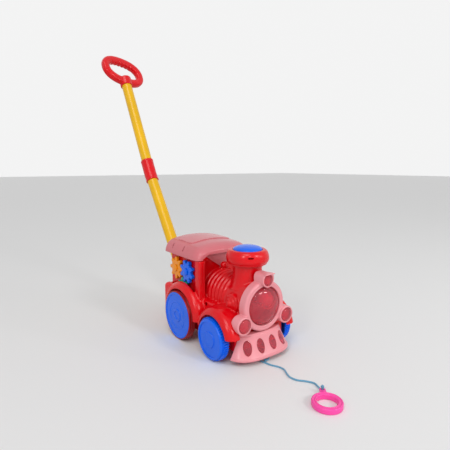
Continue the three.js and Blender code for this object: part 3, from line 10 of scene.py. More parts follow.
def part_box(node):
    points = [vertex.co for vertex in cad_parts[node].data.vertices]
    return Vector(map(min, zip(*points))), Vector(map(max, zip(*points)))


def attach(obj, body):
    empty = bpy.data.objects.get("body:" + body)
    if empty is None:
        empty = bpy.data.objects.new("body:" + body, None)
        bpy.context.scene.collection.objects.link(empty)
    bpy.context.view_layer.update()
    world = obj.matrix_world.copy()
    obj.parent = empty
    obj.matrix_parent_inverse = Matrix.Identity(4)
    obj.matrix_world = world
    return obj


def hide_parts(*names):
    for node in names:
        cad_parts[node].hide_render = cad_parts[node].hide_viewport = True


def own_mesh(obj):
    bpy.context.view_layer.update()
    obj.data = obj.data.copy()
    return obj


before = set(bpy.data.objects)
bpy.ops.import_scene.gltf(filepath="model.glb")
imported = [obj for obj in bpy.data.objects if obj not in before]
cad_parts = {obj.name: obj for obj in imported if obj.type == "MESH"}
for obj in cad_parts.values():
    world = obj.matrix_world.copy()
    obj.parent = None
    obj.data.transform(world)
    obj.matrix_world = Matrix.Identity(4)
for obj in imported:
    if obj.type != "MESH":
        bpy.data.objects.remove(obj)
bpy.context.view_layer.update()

MM = 0.001
# Sides of a turned form, and how near two corners may be before they are one
FINE, ROUND, PLAIN = 96, 56, 28
WELD = 1e-4
# Thickness of the shells, play between fixed and between moving pieces, and how far a cutter reaches out
WALL = 2.5
GAP = 0.3
RUN = 0.4
OVER = 3.0

# Running gear
axle = Sizes(radius=2.5)
outer_face = 75.6
front_wheel = Sizes(radius=35, width=15, y=-59, ribs=52, ribbed=11, rim_drop=2.2)
rib = Sizes(root=1, foot=0.62, top=0.45, trim=0.02)
rear_wheel = Sizes(radius=43.7, width=13.2, y=44, chamfer=1.2, groove=0.7, groove_width=2.2)
hub = Sizes(radius=8, bore_wall=2.4, rim_wall=3.2, bevel=2.4, ring=13, relief=1.4, soft=0.5)
cover = Sizes(radius=41.6, depth=2, rim=4.4, crown=0.7, relief=1.2, boss=11, middle=0.62, bead=1)

# Body
guard = Sizes(play=3.3, rise=12, outer=71, bottom=45.5)
deck = Sizes(half=68, top=92, back=100, corner=7)
partition = Sizes(inner=59.2, outer=60.8)
hull = Sizes(half=50, front=-94, back=104, bottom=19.5, shoulder=60)
saddle = Sizes(top=82, front=-34, corner=5)
cab = Sizes(front=15, top=159)
column = Sizes(inner=43, outer=56.5, front=-3.5, bottom=62, top=147, round=3, flute=0.9, flute_gap=4.4)
pocket = Sizes(floor=75, front=10.5, back=97.5)
boiler = Sizes(radius=37, z=88.7, front=-92)
band = Sizes(count=6, start=-47, pitch=9.8, width=5.6, rise=2.6)
side_boss = Sizes(y=-71, z=91, radius=16, out=43.5, step=2.6, slope=0.6, ring=10.8, dome=6, dome_out=4.6)
neck = Sizes(radius=24, y=-63, top=150.5, flare=8, flare_top=142, flare_foot=112, foot=98)
knob = Sizes(radius=6.6, y=2.5, z=133.5, stem=4.4, foot=124, spread=1.2)
socket = Sizes(radius=15.6, edge=2, bottom=50, mouth=98, floor=3, web=4.5, web_foot=30, lip=1.4, lip_height=6)
tube = Sizes(radius=12, wall=1.2, lower_lean=34.7, upper_lean=29.05)
bend = Sizes(y=289.6, z=290)

# Chimney
cap = Sizes(radius=35.5, bottom=150.8, belly=159.5, top=173.8, mouth=24.6, lip=28, foot=32, collar=3)
cap_edge = Sizes(wide=1.2, high=0.8)
cap_slot = Sizes(width=9, height=2.8, z=165, turn=-31, depth=8)
button = Sizes(radius=24.2, rim=173.5, rise=6.8, skirt=4, skin=1.8, stem=5, travel=3)
barb = Sizes(out=1.5, height=3.4, taper=0.6)
spring = Sizes(radius=0.6, coil=7.6, turns=5, steps=32, sides=12)

# Roof
roof = Sizes(half=60, eave=147.5, crown=177, crest=90, front_fall=5, fall=1.5, back=115)
nose = Sizes(start=22, length=22, drop=10.5, narrow=8)
tail = Sizes(start=108, length=7, drop=6, narrow=5)
# Half of the roof's section, as shares of its half width and of its height
roof_shares = [
    (1, 0), (0.985, 0.2), (0.95, 0.4), (0.89, 0.6), (0.81, 0.74), (0.72, 0.82), (0.5, 0.915),
    (0.25, 0.98), (0, 1),
]
roof_steps = Sizes(nose=9, middle=14, tail=6, tail_from=15, across=5)
panel = Sizes(half=44, front=41, back=93, rise=1.3, corner=9)
roof_slot = Sizes(width=2.4, top_x=52, top_z=165, end_x=57.6, end_z=157.4, first_y=50, second_y=87, deep=4)
arch = Sizes(half=46, flat_half=34, end=149.8, top=156.6, depth=8)
visor = Sizes(thickness=2.2, half=41, shoulder_half=27, shoulder=148, top=158, tip=129, tip_half=1.5)

# Face
face = Sizes(radius=41, front=-108, round=4, spigot=11.5, spigot_wall=2, lip=3, bevel=1.6, groove=0.9)
pane = Sizes(radius=31.4, rim=-103, foot=3.3, rise=11.5, skin=1.6, ledge=1.9, bead=0.7, bead_ring=27.6)
low_lamp = Sizes(x=43.9, z=66.4, radius=14.5, front=-112, lens=11.3, rise=4.6, round=1.6)
high_lamp = Sizes(x=0, z=132.2, radius=11.5, front=-115, lens=8.9, rise=3.8, hood=143.6, corner=7.5)
peak = Sizes(half=10.2, reach=3.6, back=9, thickness=2, narrow=2.6)
lamp_seat = Sizes(depth=4.6, floor=2.2, foot=2.4, skin=1.6)
ball = Sizes(radius=13.5, x=10.5, y=-94.5, z=96, groove=0.25, groove_angle=1.2, lean=35, tip=20)

# Cowcatcher
plow_top = Sizes(half=50.5, deep=42.5, middle=-65.5)
plow_foot = Sizes(half=60, deep=49.3, middle=-71)
plow_z = Sizes(floor=9, lip=12.6, wall_foot=13.8, wall_top=43.4, step=44.2, top=47)
plow_out = Sizes(lip=1.5, lip_round=0.5, step=1.6)
plow = Sizes(power=3, flare=1.25, steps=110, levels=9)
oval = Sizes(width=14, height=21, z=28, reach=12, proud=0.8, points=56)
oval_places = (-36, -12.6, 12.6, 36)

# Screws
screw = Sizes(head=2.9, head_height=1.8, head_round=1, shank=1.35, slot=0.8, slot_depth=1.1, slot_end=1.1)
thread = Sizes(pitch=1.1, depth=0.3, start=2, plain=4, point=1.5)
base_screw = Sizes(x=43.2, front_y=-85, back_y=92, length=14.6)
side_screw = Sizes(seat=-14, length=25.4)
side_screw_places = ((-13.6, 75.5), (84, 60), (-80, 48))

# Gears
window_tooth = Sizes(angle=30, addendum=2.6, dedendum=3.6, play=0.6)
window_gear = Sizes(teeth=8, small_teeth=6, module=4.5625, thickness=6.8, air=0.9, edge=0.9, edge_angle=60)
gear_set = Sizes(blue_turn=22.5, green_way=-66.6)
blue_gear = Sizes(y=39.3, z=122)
stud = Sizes(radius=4.2, bore=2.1, head=6.4, rim=0.9, dome=1.4, stem=1.8)
shaft = Sizes(radius=3, seat=0.25, bore_half=57.4)

# Handle
coupler = Sizes(radius=13.9, below=19, above=34, stop=1.5, bead=0.4, bead_length=3)
upper_reach = 264
grip = Sizes(half=57.5, high=39, hole_half=40, hole_high=20.5, depth=17, turn=14, power=2.3, start=246)
grip_section = Sizes(count=160, power=2.8, steps=32)
grip_hole = Sizes(waves=4, wave=2.4, nub=5, nub_half=9)
grip_sleeve = Sizes(radius=14.5, start=242, crown=3.5, crown_in=5, edge=0.8)

# Pull cord and ring
eye_y = -102.5
eye_top = 22.0
cord = Sizes(radius=1.3, trim=0.02, sides=14, steps=14, tail_steps=8, lie=1.4)
knotted = Sizes(radius=2.7, strand=0.36, height=0.8, steps=90, sides=12)
ring = Sizes(x=-20.5, y=-252, radius=20.7, hole=13.6, height=8, round=1.8, groove=0.9, groove_half=1.6)
lug = Sizes(half=4.4, reach=34, floor=3.1, thickness=3, edge=0.7, hole=2.4, inset=4.4, turn=52)

# Moulded skins: the grain of each, and how often it is smoothed
grain = Sizes(body=0.93, roof=0.9, roof_edge=0.8, face=0.63, plow=0.6, insert=0.35, sleeve=0.6, grip=0.8)
passes = Sizes(usual=3, soft=5)

middle_y = rear_wheel.y - sum(corner.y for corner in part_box("rear_axle")) / (2 * MM)


# Forms


def in_scene(name, data):
    made = bpy.data.objects.new(name, data)
    bpy.context.scene.collection.objects.link(made)
    return made


def mesh_object(name, points, faces):
    mesh = bpy.data.meshes.new(name)
    mesh.from_pydata([tuple(map(float, point)) for point in points], [], faces)
    work = bmesh.new()
    work.from_mesh(mesh)
    bmesh.ops.remove_doubles(work, verts=work.verts, dist=WELD)
    bmesh.ops.recalc_face_normals(work, faces=work.faces)
    work.to_mesh(mesh)
    work.free()
    return in_scene(name, mesh)


def baked(form):
    """The form with its modifiers turned into plain mesh."""
    graph = bpy.context.evaluated_depsgraph_get()
    graph.update()
    mesh = bpy.data.meshes.new_from_object(form.evaluated_get(graph))
    form.modifiers.clear()
    form.data = mesh
    return form


def combined(form, others, operation):
    for other in others:
        step = form.modifiers.new(operation.lower(), "BOOLEAN")
        step.operation = operation
        step.solver = "MANIFOLD"
        step.object = other
    baked(form)
    for other in others:
        bpy.data.objects.remove(other)
    return form


def joined(form, *others):
    return combined(form, others, "UNION")


def cut(form, *others):
    return combined(form, others, "DIFFERENCE")


def kept(form, *others):
    return combined(form, others, "INTERSECT")


def gathered(form, *others):
    """All forms as the loose shells of one mesh."""
    work = bmesh.new()
    for part in (form, *others):
        work.from_mesh(part.data)
    work.to_mesh(form.data)
    work.free()
    for part in others:
        bpy.data.objects.remove(part)
    return form


def softened(form, size, times):
    """One skin over the form with its edges and inner corners rounded, as moulded plastic has."""
    skin = form.modifiers.new("skin", "REMESH")
    skin.mode = "VOXEL"
    skin.voxel_size = size
    smooth = form.modifiers.new("smooth", "SMOOTH")
    smooth.factor = 0.5
    smooth.iterations = times
    return baked(form)


def bevelled(form, width, angle=30):
    """The form with its edges rounded, where they are sharper than an angle in degrees."""
    edge = form.modifiers.new("edge", "BEVEL")
    edge.width, edge.segments, edge.limit_method, edge.angle_limit = width, 3, "ANGLE", math.radians(angle)
    return baked(form)


def copied(form, name):
    twin = form.copy()
    twin.data = form.data.copy()
    twin.name = name
    bpy.context.scene.collection.objects.link(twin)
    return twin


def mirrored(form, name):
    """The same form on the other side of the middle plane."""
    twin = copied(form, name)
    twin.data.transform(Matrix.Scale(-1, 4, (1, 0, 0)))
    twin.data.flip_normals()
    return twin


def moved(form, matrix):
    form.data.transform(matrix)
    return form


def both_sides(form):
    return gathered(form, mirrored(form, form.name))


def arc(centre, radii, start, stop, steps):
    """Points on a round or oval bow, from one angle in degrees to another."""
    wide, high = radii if isinstance(radii, tuple) else (radii, radii)
    turns = np.radians(np.linspace(start, stop, steps + 1))
    return [(centre[0] + wide * math.cos(t), centre[1] + high * math.sin(t)) for t in turns]


def mirrored_outline(points):
    return [*points, *((-u, v) for u, v in reversed(points))]


def rotation(degrees, axis):
    return Matrix.Rotation(math.radians(degrees), 4, axis)


def through(points, steps):
    """A smooth line through points, with so many steps from each point to the next."""
    knots = np.array([points[0], *points, points[-1]], float)
    line = []
    for a, b, c, d in zip(knots, knots[1:], knots[2:], knots[3:]):
        for i in range(steps):
            t = i / steps
            squared, cubed = (2 * a - 5 * b + 4 * c - d) * t**2, (3 * b - a - 3 * c + d) * t**3
            line.append(0.5 * (2 * b + (c - a) * t + squared + cubed))
    return [*line, knots[-1]]


def block(x, y, z):
    points = [(a, b, c) for a in x for b in y for c in z]
    faces = [(0, 1, 3, 2), (4, 6, 7, 5), (0, 4, 5, 1), (2, 3, 7, 6), (0, 2, 6, 4), (1, 5, 7, 3)]
    return mesh_object("block", points, faces)


def turned(profile, axis, centre, count=FINE):
    """A profile of (radius, place along the axis), turned about a line along X, Y or Z."""
    closed = np.allclose(profile[0], profile[-1])
    points, rings = [], []
    u, v = centre
    for radius, along in profile[:-1] if closed else profile:
        turns = [0.0] if radius < WELD else [2 * math.pi * i / count for i in range(count)]
        rings.append([len(points) + i for i in range(len(turns))])
        for turn in turns:
            a, b = u + radius * math.cos(turn), v + radius * math.sin(turn)
            points.append({"x": (along, a, b), "y": (a, along, b), "z": (a, b, along)}[axis])
    faces = []
    follow = rings[1:] + rings[:1] if closed else rings[1:]
    for lower, upper in zip(rings, follow):
        for i in range(count):
            j = (i + 1) % count
            if len(lower) == 1 and len(upper) > 1:
                faces.append((lower[0], upper[i], upper[j]))
            elif len(upper) == 1 and len(lower) > 1:
                faces.append((lower[i], lower[j], upper[0]))
            elif len(upper) > 1:
                faces.append((lower[i], lower[j], upper[j], upper[i]))
    return mesh_object("turned", points, faces)


def rod(radius, start, stop):
    return [(0, start), (radius, start), (radius, stop), (0, stop)]


def pipe(inner, outer, start, stop):
    return [(inner, start), (outer, start), (outer, stop), (inner, stop), (inner, start)]


def leaning(profile, foot, lean, count=FINE):
    """A profile turned about a line in the middle plane that leans back from a point on it."""
    form = turned(profile, "z", (0, 0), count)
    return moved(form, Matrix.Translation((0, foot.y, foot.z)) @ rotation(-lean, "X"))


def along_lean(foot, lean, distance):
    turn = math.radians(lean)
    return Sizes(y=foot.y + math.sin(turn) * distance, z=foot.z + math.cos(turn) * distance)


def pushed(outline, axis, span):
    """An outline pushed out along X, Y or Z."""
    points = []
    for along in span:
        points += [{"x": (along, u, v), "y": (u, along, v), "z": (u, v, along)}[axis] for u, v in outline]
    count = len(outline)
    faces = [tuple(range(count)), tuple(range(2 * count - 1, count - 1, -1))]
    faces += [(i, (i + 1) % count, (i + 1) % count + count, i + count) for i in range(count)]
    return mesh_object("pushed", points, faces)


def lofted(rings, closed=False):
    """A skin over rings with as many points each. It closes on itself, or with a flat end at both sides."""
    count = len(rings[0])
    points = [point for ring_points in rings for point in ring_points]
    faces = []
    last = len(rings) if closed else len(rings) - 1
    for r in range(last):
        a, b = r * count, (r + 1) % len(rings) * count
        faces += [(a + i, a + (i + 1) % count, b + (i + 1) % count, b + i) for i in range(count)]
    if not closed:
        faces += [tuple(range(count)), tuple(range(last * count, (last + 1) * count))]
    return mesh_object("lofted", points, faces)


def swept(name, path, radius, sides, closed=False):
    """A round wire or cord along a path, with a UV map that runs round it and along it."""
    path = np.array(path, float)
    ahead = np.roll(path, -1, axis=0) - np.roll(path, 1, axis=0)
    if not closed:
        ahead[0], ahead[-1] = path[1] - path[0], path[-1] - path[-2]
    ahead /= np.linalg.norm(ahead, axis=1)[:, None]
    side = np.cross(ahead[0], (0, 0, 1) if abs(ahead[0][2]) < 0.9 else (1, 0, 0))
    rings = []
    for place, way in zip(path, ahead):
        side = side - way * np.dot(side, way)
        side /= np.linalg.norm(side)
        up = np.cross(way, side)
        turns = [2 * math.pi * i / sides for i in range(sides)]
        rings.append([place + radius * (math.cos(t) * side + math.sin(t) * up) for t in turns])
    form = lofted(rings, closed)
    form.name = name
    lengths = np.concatenate([[0], np.cumsum(np.linalg.norm(np.diff(path, axis=0), axis=1))])
    layer = form.data.uv_layers.new(name="lay")
    for polygon in form.data.polygons:
        for loop in polygon.loop_indices:
            vertex = form.data.loops[loop].vertex_index
            step, turn = divmod(vertex, sides)
            far = lengths[min(step, len(lengths) - 1)]
            layer.data[loop].uv = (turn / sides, far / (2 * math.pi * radius))
    return form


# Node trees, for repeats and finishes


def feed(tree, made, inputs):
    """Sets a node's inputs, each to a value or to another node's output."""
    for key, value in inputs.items():
        if isinstance(value, bpy.types.NodeSocket):
            tree.links.new(value, made.inputs[key])
        else:
            made.inputs[key].default_value = value
    return made


def node(tree, kind, inputs=None, **settings):
    made = tree.nodes.new(kind)
    for key, value in settings.items():
        setattr(made, key, value)
    return feed(tree, made, inputs or {})


def maths(tree, operation, first, second):
    return node(tree, "ShaderNodeMath", {0: first, 1: second}, operation=operation).outputs[0]


# Repeats


def new_tree(name, inputs):
    tree = bpy.data.node_groups.new(name, "GeometryNodeTree")
    for label, kind in {"Geometry": "Geometry", **inputs, "Finish": "Material"}.items():
        tree.interface.new_socket(label, in_out="INPUT", socket_type="NodeSocket" + kind)
    tree.interface.new_socket("Geometry", in_out="OUTPUT", socket_type="NodeSocketGeometry")
    return tree, tree.nodes.new("NodeGroupInput").outputs


def finish_tree(tree, given, inputs):
    """Ends a tree with a copy at each point, as plain mesh in its finish."""
    copies = node(tree, "GeometryNodeInstanceOnPoints", inputs)
    plain = node(tree, "GeometryNodeRealizeInstances", {0: copies.outputs[0]})
    paint = node(tree, "GeometryNodeSetMaterial", {"Geometry": plain.outputs[0], "Material": given["Finish"]})
    node(tree, "NodeGroupOutput", {0: paint.outputs[0]})
    return tree


def wheel_of_copies():
    """Copies of a form turned about the X axis, evenly all the way round."""
    tree, given = new_tree("wheel of copies", {"Count": "Int", "Full turn": "Float"})
    points = node(tree, "GeometryNodePoints", {"Count": given["Count"]})
    step = maths(tree, "DIVIDE", given["Full turn"], given["Count"])
    angle = maths(tree, "MULTIPLY", tree.nodes.new("GeometryNodeInputIndex").outputs[0], step)
    turn = node(tree, "FunctionNodeAxisAngleToRotation", {"Axis": (1, 0, 0), "Angle": angle})
    inputs = {"Points": points.outputs[0], "Instance": given["Geometry"], "Rotation": turn.outputs[0]}
    return finish_tree(tree, given, inputs)


def row_of_copies():
    """Copies of a form in a row along Y."""
    tree, given = new_tree("row of copies", {"Count": "Int", "Pitch": "Float"})
    index = tree.nodes.new("GeometryNodeInputIndex").outputs[0]
    spot = node(tree, "ShaderNodeCombineXYZ", {"Y": maths(tree, "MULTIPLY", index, given["Pitch"])})
    points = node(tree, "GeometryNodePoints", {"Count": given["Count"], "Position": spot.outputs[0]})
    return finish_tree(tree, given, {"Points": points.outputs[0], "Instance": given["Geometry"]})


def copies_at_places():
    """Copies of another object's form at each corner of this one."""
    tree, given = new_tree("copies at places", {"Form": "Object"})
    info = node(tree, "GeometryNodeObjectInfo", {"Object": given["Form"]})
    return finish_tree(tree, given, {"Points": given["Geometry"], "Instance": info.outputs["Geometry"]})


def repeated(source, tree, **values):
    step = source.modifiers.new(tree.name, "NODES")
    step.node_group = tree
    for item in tree.interface.items_tree:
        key = item.name.lower().replace(" ", "_")
        if item.in_out == "INPUT" and key in values:
            step[item.identifier] = values[key]
    return baked(source)


# Finishes

# The part of its range that a noise keeps to, most of the time
middle_of_noise = (0.3, 0.7)
plastic = Sizes(drift=22, drift_detail=3, scuff=60, calm=0.015, scuffed=0.02, ior=1.38)
plastic_skin = Sizes(scale=260, depth=8e-6, edge=0.0006, coat=0.04, coat_rough=0.08)
tinted = Sizes(rough=0.06, ior=1.42, dark=0.94, drift=40, flow=60, flow_depth=0.00015)
steel_line = Sizes(stretch=(60, 1800, 1800), detail=4, depth=0.00002, rough=(0.2, 0.36))
steel_shade = Sizes(dark=(0.62, 0.63, 0.65), pale=(0.78, 0.79, 0.8))
# dark is the share of the cord's colour left in the grooves between strands: painted shade
braid = Sizes(lean=45, scale=1.8, dark=0.62, rough=0.82, sheen=0.3, depth=0.0003)


def new_finish(name):
    material = bpy.data.materials.new(name)
    material.use_nodes = True
    tree = material.node_tree
    return material, tree, tree.nodes["Principled BSDF"]


def object_place(tree):
    return tree.nodes.new("ShaderNodeTexCoord").outputs["Object"]


def noise(tree, source, scale, detail=2):
    inputs = {"Scale": scale, "Detail": detail, "Vector": source}
    return node(tree, "ShaderNodeTexNoise", inputs).outputs["Fac"]


def spread(tree, value, low, high):
    start, stop = middle_of_noise
    inputs = {"From Min": start, "From Max": stop, "To Min": low, "To Max": high, "Value": value}
    return node(tree, "ShaderNodeMapRange", inputs).outputs[0]


def shades(tree, factor, dark, pale):
    ramp = node(tree, "ShaderNodeValToRGB", {"Fac": factor})
    for element, colour, place in zip(ramp.color_ramp.elements, (dark, pale), middle_of_noise):
        element.color = (*colour, 1)
        element.position = place
    return ramp.outputs["Color"]


def linear(colour, share=1):
    """A display colour, made darker or paler by a share, as the renderer counts it."""
    given = [min(1, c * share) for c in colour]
    return tuple(c / 12.92 if c <= 0.04045 else ((c + 0.055) / 1.055) ** 2.4 for c in given)


def bumped(tree, height, distance, edge=0):
    inputs = {"Distance": distance, "Height": height}
    if edge > 0:
        inputs["Normal"] = node(tree, "ShaderNodeBevel", {"Radius": edge}, samples=6).outputs[0]
    return node(tree, "ShaderNodeBump", inputs).outputs[0]


def moulded(name, colour, rough=0.25, vary=0.03):
    """Glossy moulded plastic: a faint drift of its colour, a fine orange-peel skin and soft edges."""
    material, tree, shader = new_finish(name)
    place = object_place(tree)
    drift = noise(tree, place, plastic.drift, plastic.drift_detail)
    scuffs = noise(tree, place, plastic.scuff)
    feed(tree, shader, {
        "Base Color": shades(tree, drift, linear(colour, 1 - vary), linear(colour, 1 + vary)),
        "Roughness": spread(tree, scuffs, rough - plastic.calm, rough + plastic.scuffed),
        "IOR": plastic.ior, "Coat Weight": plastic_skin.coat, "Coat Roughness": plastic_skin.coat_rough,
        "Normal": bumped(tree, noise(tree, place, plastic_skin.scale), plastic_skin.depth, plastic_skin.edge),
    })
    return material


def clear(name, colour, clearness):
    """Clear tinted plastic, with faint flow lines from the mould."""
    material, tree, shader = new_finish(name)
    place = object_place(tree)
    drift = noise(tree, place, tinted.drift)
    feed(tree, shader, {
        "Base Color": shades(tree, drift, linear(colour, tinted.dark), linear(colour)),
        "Roughness": tinted.rough, "IOR": tinted.ior, "Transmission Weight": clearness,
        "Normal": bumped(tree, noise(tree, place, tinted.flow), tinted.flow_depth),
    })
    return material


def drawn_steel(name):
    """Steel with fine lines along X, the way it was drawn."""
    material, tree, shader = new_finish(name)
    stretch = node(tree, "ShaderNodeMapping", {"Scale": steel_line.stretch, "Vector": object_place(tree)})
    lines = noise(tree, stretch.outputs[0], 1, steel_line.detail)
    feed(tree, shader, {
        "Base Color": shades(tree, lines, linear(steel_shade.dark), linear(steel_shade.pale)), "Metallic": 1,
        "Roughness": spread(tree, lines, *steel_line.rough), "Normal": bumped(tree, lines, steel_line.depth),
    })
    return material


def braided(name, colour):
    """A braided cord: two sets of strands that cross, laid out on the cord's UV map, its colour painted
    darker between the strands as shade.
    """
    material, tree, shader = new_finish(name)
    layout = node(tree, "ShaderNodeUVMap", uv_map="lay").outputs[0]
    strands = []
    for lean in (braid.lean, -braid.lean):
        turn = node(tree, "ShaderNodeMapping", {"Rotation": (0, 0, math.radians(lean)), "Vector": layout})
        wave = node(tree, "ShaderNodeTexWave", {"Scale": braid.scale, "Vector": turn.outputs[0]})
        strands.append(wave.outputs["Fac"])
    height = maths(tree, "MAXIMUM", *strands)
    feed(tree, shader, {
        # Painted shade: the colour falls to a darker share in the grooves between the strands
        "Base Color": shades(tree, height, linear(colour, braid.dark), linear(colour)),
        "Roughness": braid.rough, "Sheen Weight": braid.sheen, "Normal": bumped(tree, height, braid.depth),
    })
    return material


red = moulded("red plastic", (0.86, 0.0, 0.06))
# The rear tyres are the body's red, painted darker here as the shade they sit in
tyre_red_painted_shade = moulded("dark red plastic", (0.60, 0.0, 0.03), rough=0.36)
# One pink plastic in two copies: the roof's is painted darker as shade, and the face ring's and cowcatcher's
# are painted paler as light
pink = moulded("pink plastic", (0.81, 0.44, 0.47), vary=0.02)
pink_painted_lit = moulded("light pink plastic", (0.91, 0.58, 0.61), vary=0.02)
blue = moulded("blue plastic", (0.0, 0.39, 0.92))
yellow = moulded("yellow plastic", (0.90, 0.70, 0.0))
orange = moulded("orange plastic", (0.93, 0.56, 0.05))
green = moulded("green plastic", (0.06, 0.58, 0.48))
hot_pink = moulded("bright pink plastic", (1.0, 0.30, 0.66))
pale = moulded("pale plastic", (1.0, 0.92, 0.94), vary=0.02)
clear_red = clear("clear red plastic", (1.0, 0.41, 0.49), clearness=0.78)
steel = drawn_steel("drawn steel")
cord_blue = braided("light blue cord", (0.42, 0.68, 0.82))
trees = Sizes(wheel=wheel_of_copies(), row=row_of_copies(), places=copies_at_places())

# Places and the camera


def placed(form, name, finish, *nodes, body="body", crease=32):
    """Scales a finished form to metres, moves it to its place and lets it stand for its solids.

    With no solids named, it stands for the one that has its own name.
    """
    nodes = nodes or (name,)
    form.name = name
    form.data.transform(Matrix.Scale(MM, 4) @ Matrix.Translation((0, -middle_y, 0)))
    form.data.materials.clear()
    form.data.materials.append(finish)
    for polygon in form.data.polygons:
        polygon.material_index = 0
    form.data.shade_smooth()
    form.data.set_sharp_from_angle(angle=math.radians(crease))
    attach(form, body)
    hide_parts(*nodes)
    return form


def placed_pair(form, name, finish, body="body"):
    """A form made on the left, and its mirror image on the right. A * in the body's name is the side."""
    for side, half in (("left", form), ("right", mirrored(form, name))):
        placed(half, f"{name}_{side}", finish, body=body.replace("*", side))


camera_place = Sizes(x=-0.4115, y=-0.7282, z=0.3086, turn=-36.32, pitch=-8.41, lens=32.01)


def set_camera():
    optics = bpy.data.cameras.new("camera")
    optics.lens = camera_place.lens
    camera = in_scene("camera", optics)
    camera.location = (camera_place.x, camera_place.y, camera_place.z)
    camera.rotation_euler = (math.radians(90 + camera_place.pitch), 0, math.radians(camera_place.turn))
    bpy.context.scene.camera = camera


set_camera()

# Pull cord, its knots and its ring

lug_way = (math.cos(math.radians(lug.turn)), math.sin(math.radians(lug.turn)))
lug_hole = lug.reach - lug.inset
lug_top = lug.floor + lug.thickness


def along_lug(distance, z):
    return (ring.x + lug_way[0] * distance, ring.y + lug_way[1] * distance, z)


cord_lies = [
    (-11, -112.5), (-9.3, -119.4), (-7.2, -130.1), (-1.4, -142.6), (-0.4, -152.5), (-5.4, -163.5),
    (-9.2, -174), (-7, -185.9), (0.3, -194.7), (6.6, -206), (4.5, -214.2), (2.4, -220.6),
]
cord_route = [
    (0, eye_y, eye_top), (0, eye_y, 18.2), (-1.5, -103.2, 13), (-5.5, -105.4, 6), (-9.5, -108.6, 2.3),
    *((x, y, cord.lie) for x, y in cord_lies), along_lug(lug.reach, cord.lie),
    along_lug(lug_hole + cord.radius / 2, lug.floor - cord.radius / 2),
    along_lug(lug_hole, lug_top - cord.radius), along_lug(lug_hole, lug_top + GAP),
]
tail_knot_place = (-6, -116.2)
tail_route = [
    (-3, -115.6, 2.2), (-0.4, -115.2, 1.7), (2.4, -114.4, cord.lie), (4.6, -112.8, 1.9), (5.4, -111.6, 2.4),
]


def cord_form(name, path, radius, sides, closed=False):
    return placed(swept(name, path, radius, sides, closed), name, cord_blue, crease=80)


def knot(name, x, y, z):
    """A small overhand knot, its strand wound three times through itself."""
    strand = knotted.radius * knotted.strand
    loop = knotted.radius - strand
    path = []
    for turn in np.linspace(0, 2 * math.pi, knotted.steps, endpoint=False):
        out = loop * (2 + math.cos(3 * turn)) / 3
        rise = loop * knotted.height * math.sin(3 * turn)
        path.append((x + out * math.cos(2 * turn), y + out * math.sin(2 * turn), z + rise))
    return cord_form(name, path, strand, knotted.sides, closed=True)


def pull_cord():
    line = through(cord_route, cord.steps)
    tail_line = through(tail_route, cord.tail_steps)
    cord_piece = cord_form("pull_cord", line, cord.radius - cord.trim, cord.sides)
    tail_piece = cord_form("cord_tail", tail_line, cord.radius - cord.trim, cord.sides)
    knots = [
        knot("tow_knot", 0, eye_y, eye_top + GAP + knotted.radius),
        knot("tail_knot", *tail_knot_place, knotted.radius),
        knot("ring_knot", *along_lug(lug_hole, lug_top + 2 * GAP + knotted.radius)),
    ]
    ring_piece = pull_ring()


def pull_ring():
    middle = (ring.radius + ring.hole) / 2
    soft = ring.round
    profile = [
        *arc((ring.radius - soft, soft), soft, -90, 0, 5),
        *arc((ring.radius - soft, ring.height - soft), soft, 0, 90, 5),
        *arc((middle, ring.height), (ring.groove_half, ring.groove), 0, -180, 8),
        *arc((ring.hole + soft, ring.height - soft), soft, 90, 180, 5),
        *arc((ring.hole + soft, soft), soft, 180, 270, 5),
    ]
    profile.append(profile[0])
    hoop = turned(profile, "z", (ring.x, ring.y))
    tip = lug.reach - lug.half
    root = ring.hole + soft
    outline = [(root, -lug.half), *arc((tip, 0), lug.half, -90, 90, 16), (root, lug.half)]
    tab = pushed(outline, "z", (lug.floor, lug_top))
    bevelled(tab, lug.edge)
    moved(tab, Matrix.Translation((ring.x, ring.y, 0)) @ rotation(lug.turn, "Z"))
    hole_x, hole_y, _ = along_lug(lug_hole, 0)
    bore = turned(rod(lug.hole, 0, lug_top + OVER), "z", (hole_x, hole_y), PLAIN)
    return placed(cut(joined(hoop, tab), bore), "pull_ring", hot_pink)


pull_cord()

# Body: the outside as one moulded skin, then the hollows behind it


def guard_inner(wheel):
    return wheel.radius + guard.play


def guard_form(wheel, grow):
    soft = guard.rise + grow
    corner = arc((guard_inner(wheel), guard.outer - guard.rise), soft, 0, 90, 14)
    profile = [(0, 0), (guard_inner(wheel) + soft, 0), *corner, (0, guard.outer + grow)]
    return both_sides(turned(profile, "x", (wheel.y, wheel.radius)))


def wheel_well(wheel, start):
    soft = guard.rise - WALL
    profile = [
        (0, hull.half), (guard_inner(wheel) + soft, hull.half),
        *arc((guard_inner(wheel), guard.outer - guard.rise), soft, 0, 90, 8),
        (guard_inner(wheel), outer_face + OVER), (0, outer_face + OVER),
    ]
    reach = 2 * guard_inner(wheel)
    outside = block((start, outer_face + OVER), (wheel.y - reach, wheel.y + reach), (-reach, reach))
    return both_sides(kept(turned(profile, "x", (wheel.y, wheel.radius)), outside))


def rounded_top(half, low, top, corner, steps):
    """Outline of a block across the toy with both upper corners rounded."""
    return mirrored_outline([(half, low), *arc((half - corner, top - corner), corner, 0, 90, steps)])


def deck_form():
    corner, back, top, half, low = deck.corner, deck.back, deck.top, deck.half, guard.bottom
    rear = arc((back - corner, top - corner), corner, 0, 90, 8)
    form = pushed([(rear_wheel.y, low), (back, low), *rear, (rear_wheel.y, top)], "x", (-half, half))
    across = rounded_top(half, low, top, corner, 8)
    return kept(form, pushed(across, "y", (rear_wheel.y - OVER, deck.back + OVER)))


def hull_form(inset):
    top = cab.top + (OVER if inset else 0)
    bottom = hull.bottom - (OVER if inset else 0)
    outline = [
        (hull.front + inset, bottom), (hull.back - inset, bottom), (hull.back - inset, top),
        (cab.front + inset, top), (cab.front + inset, hull.shoulder - inset),
        (hull.front + inset, hull.shoulder - inset),
    ]
    return pushed(outline, "x", (inset - hull.half, hull.half - inset))


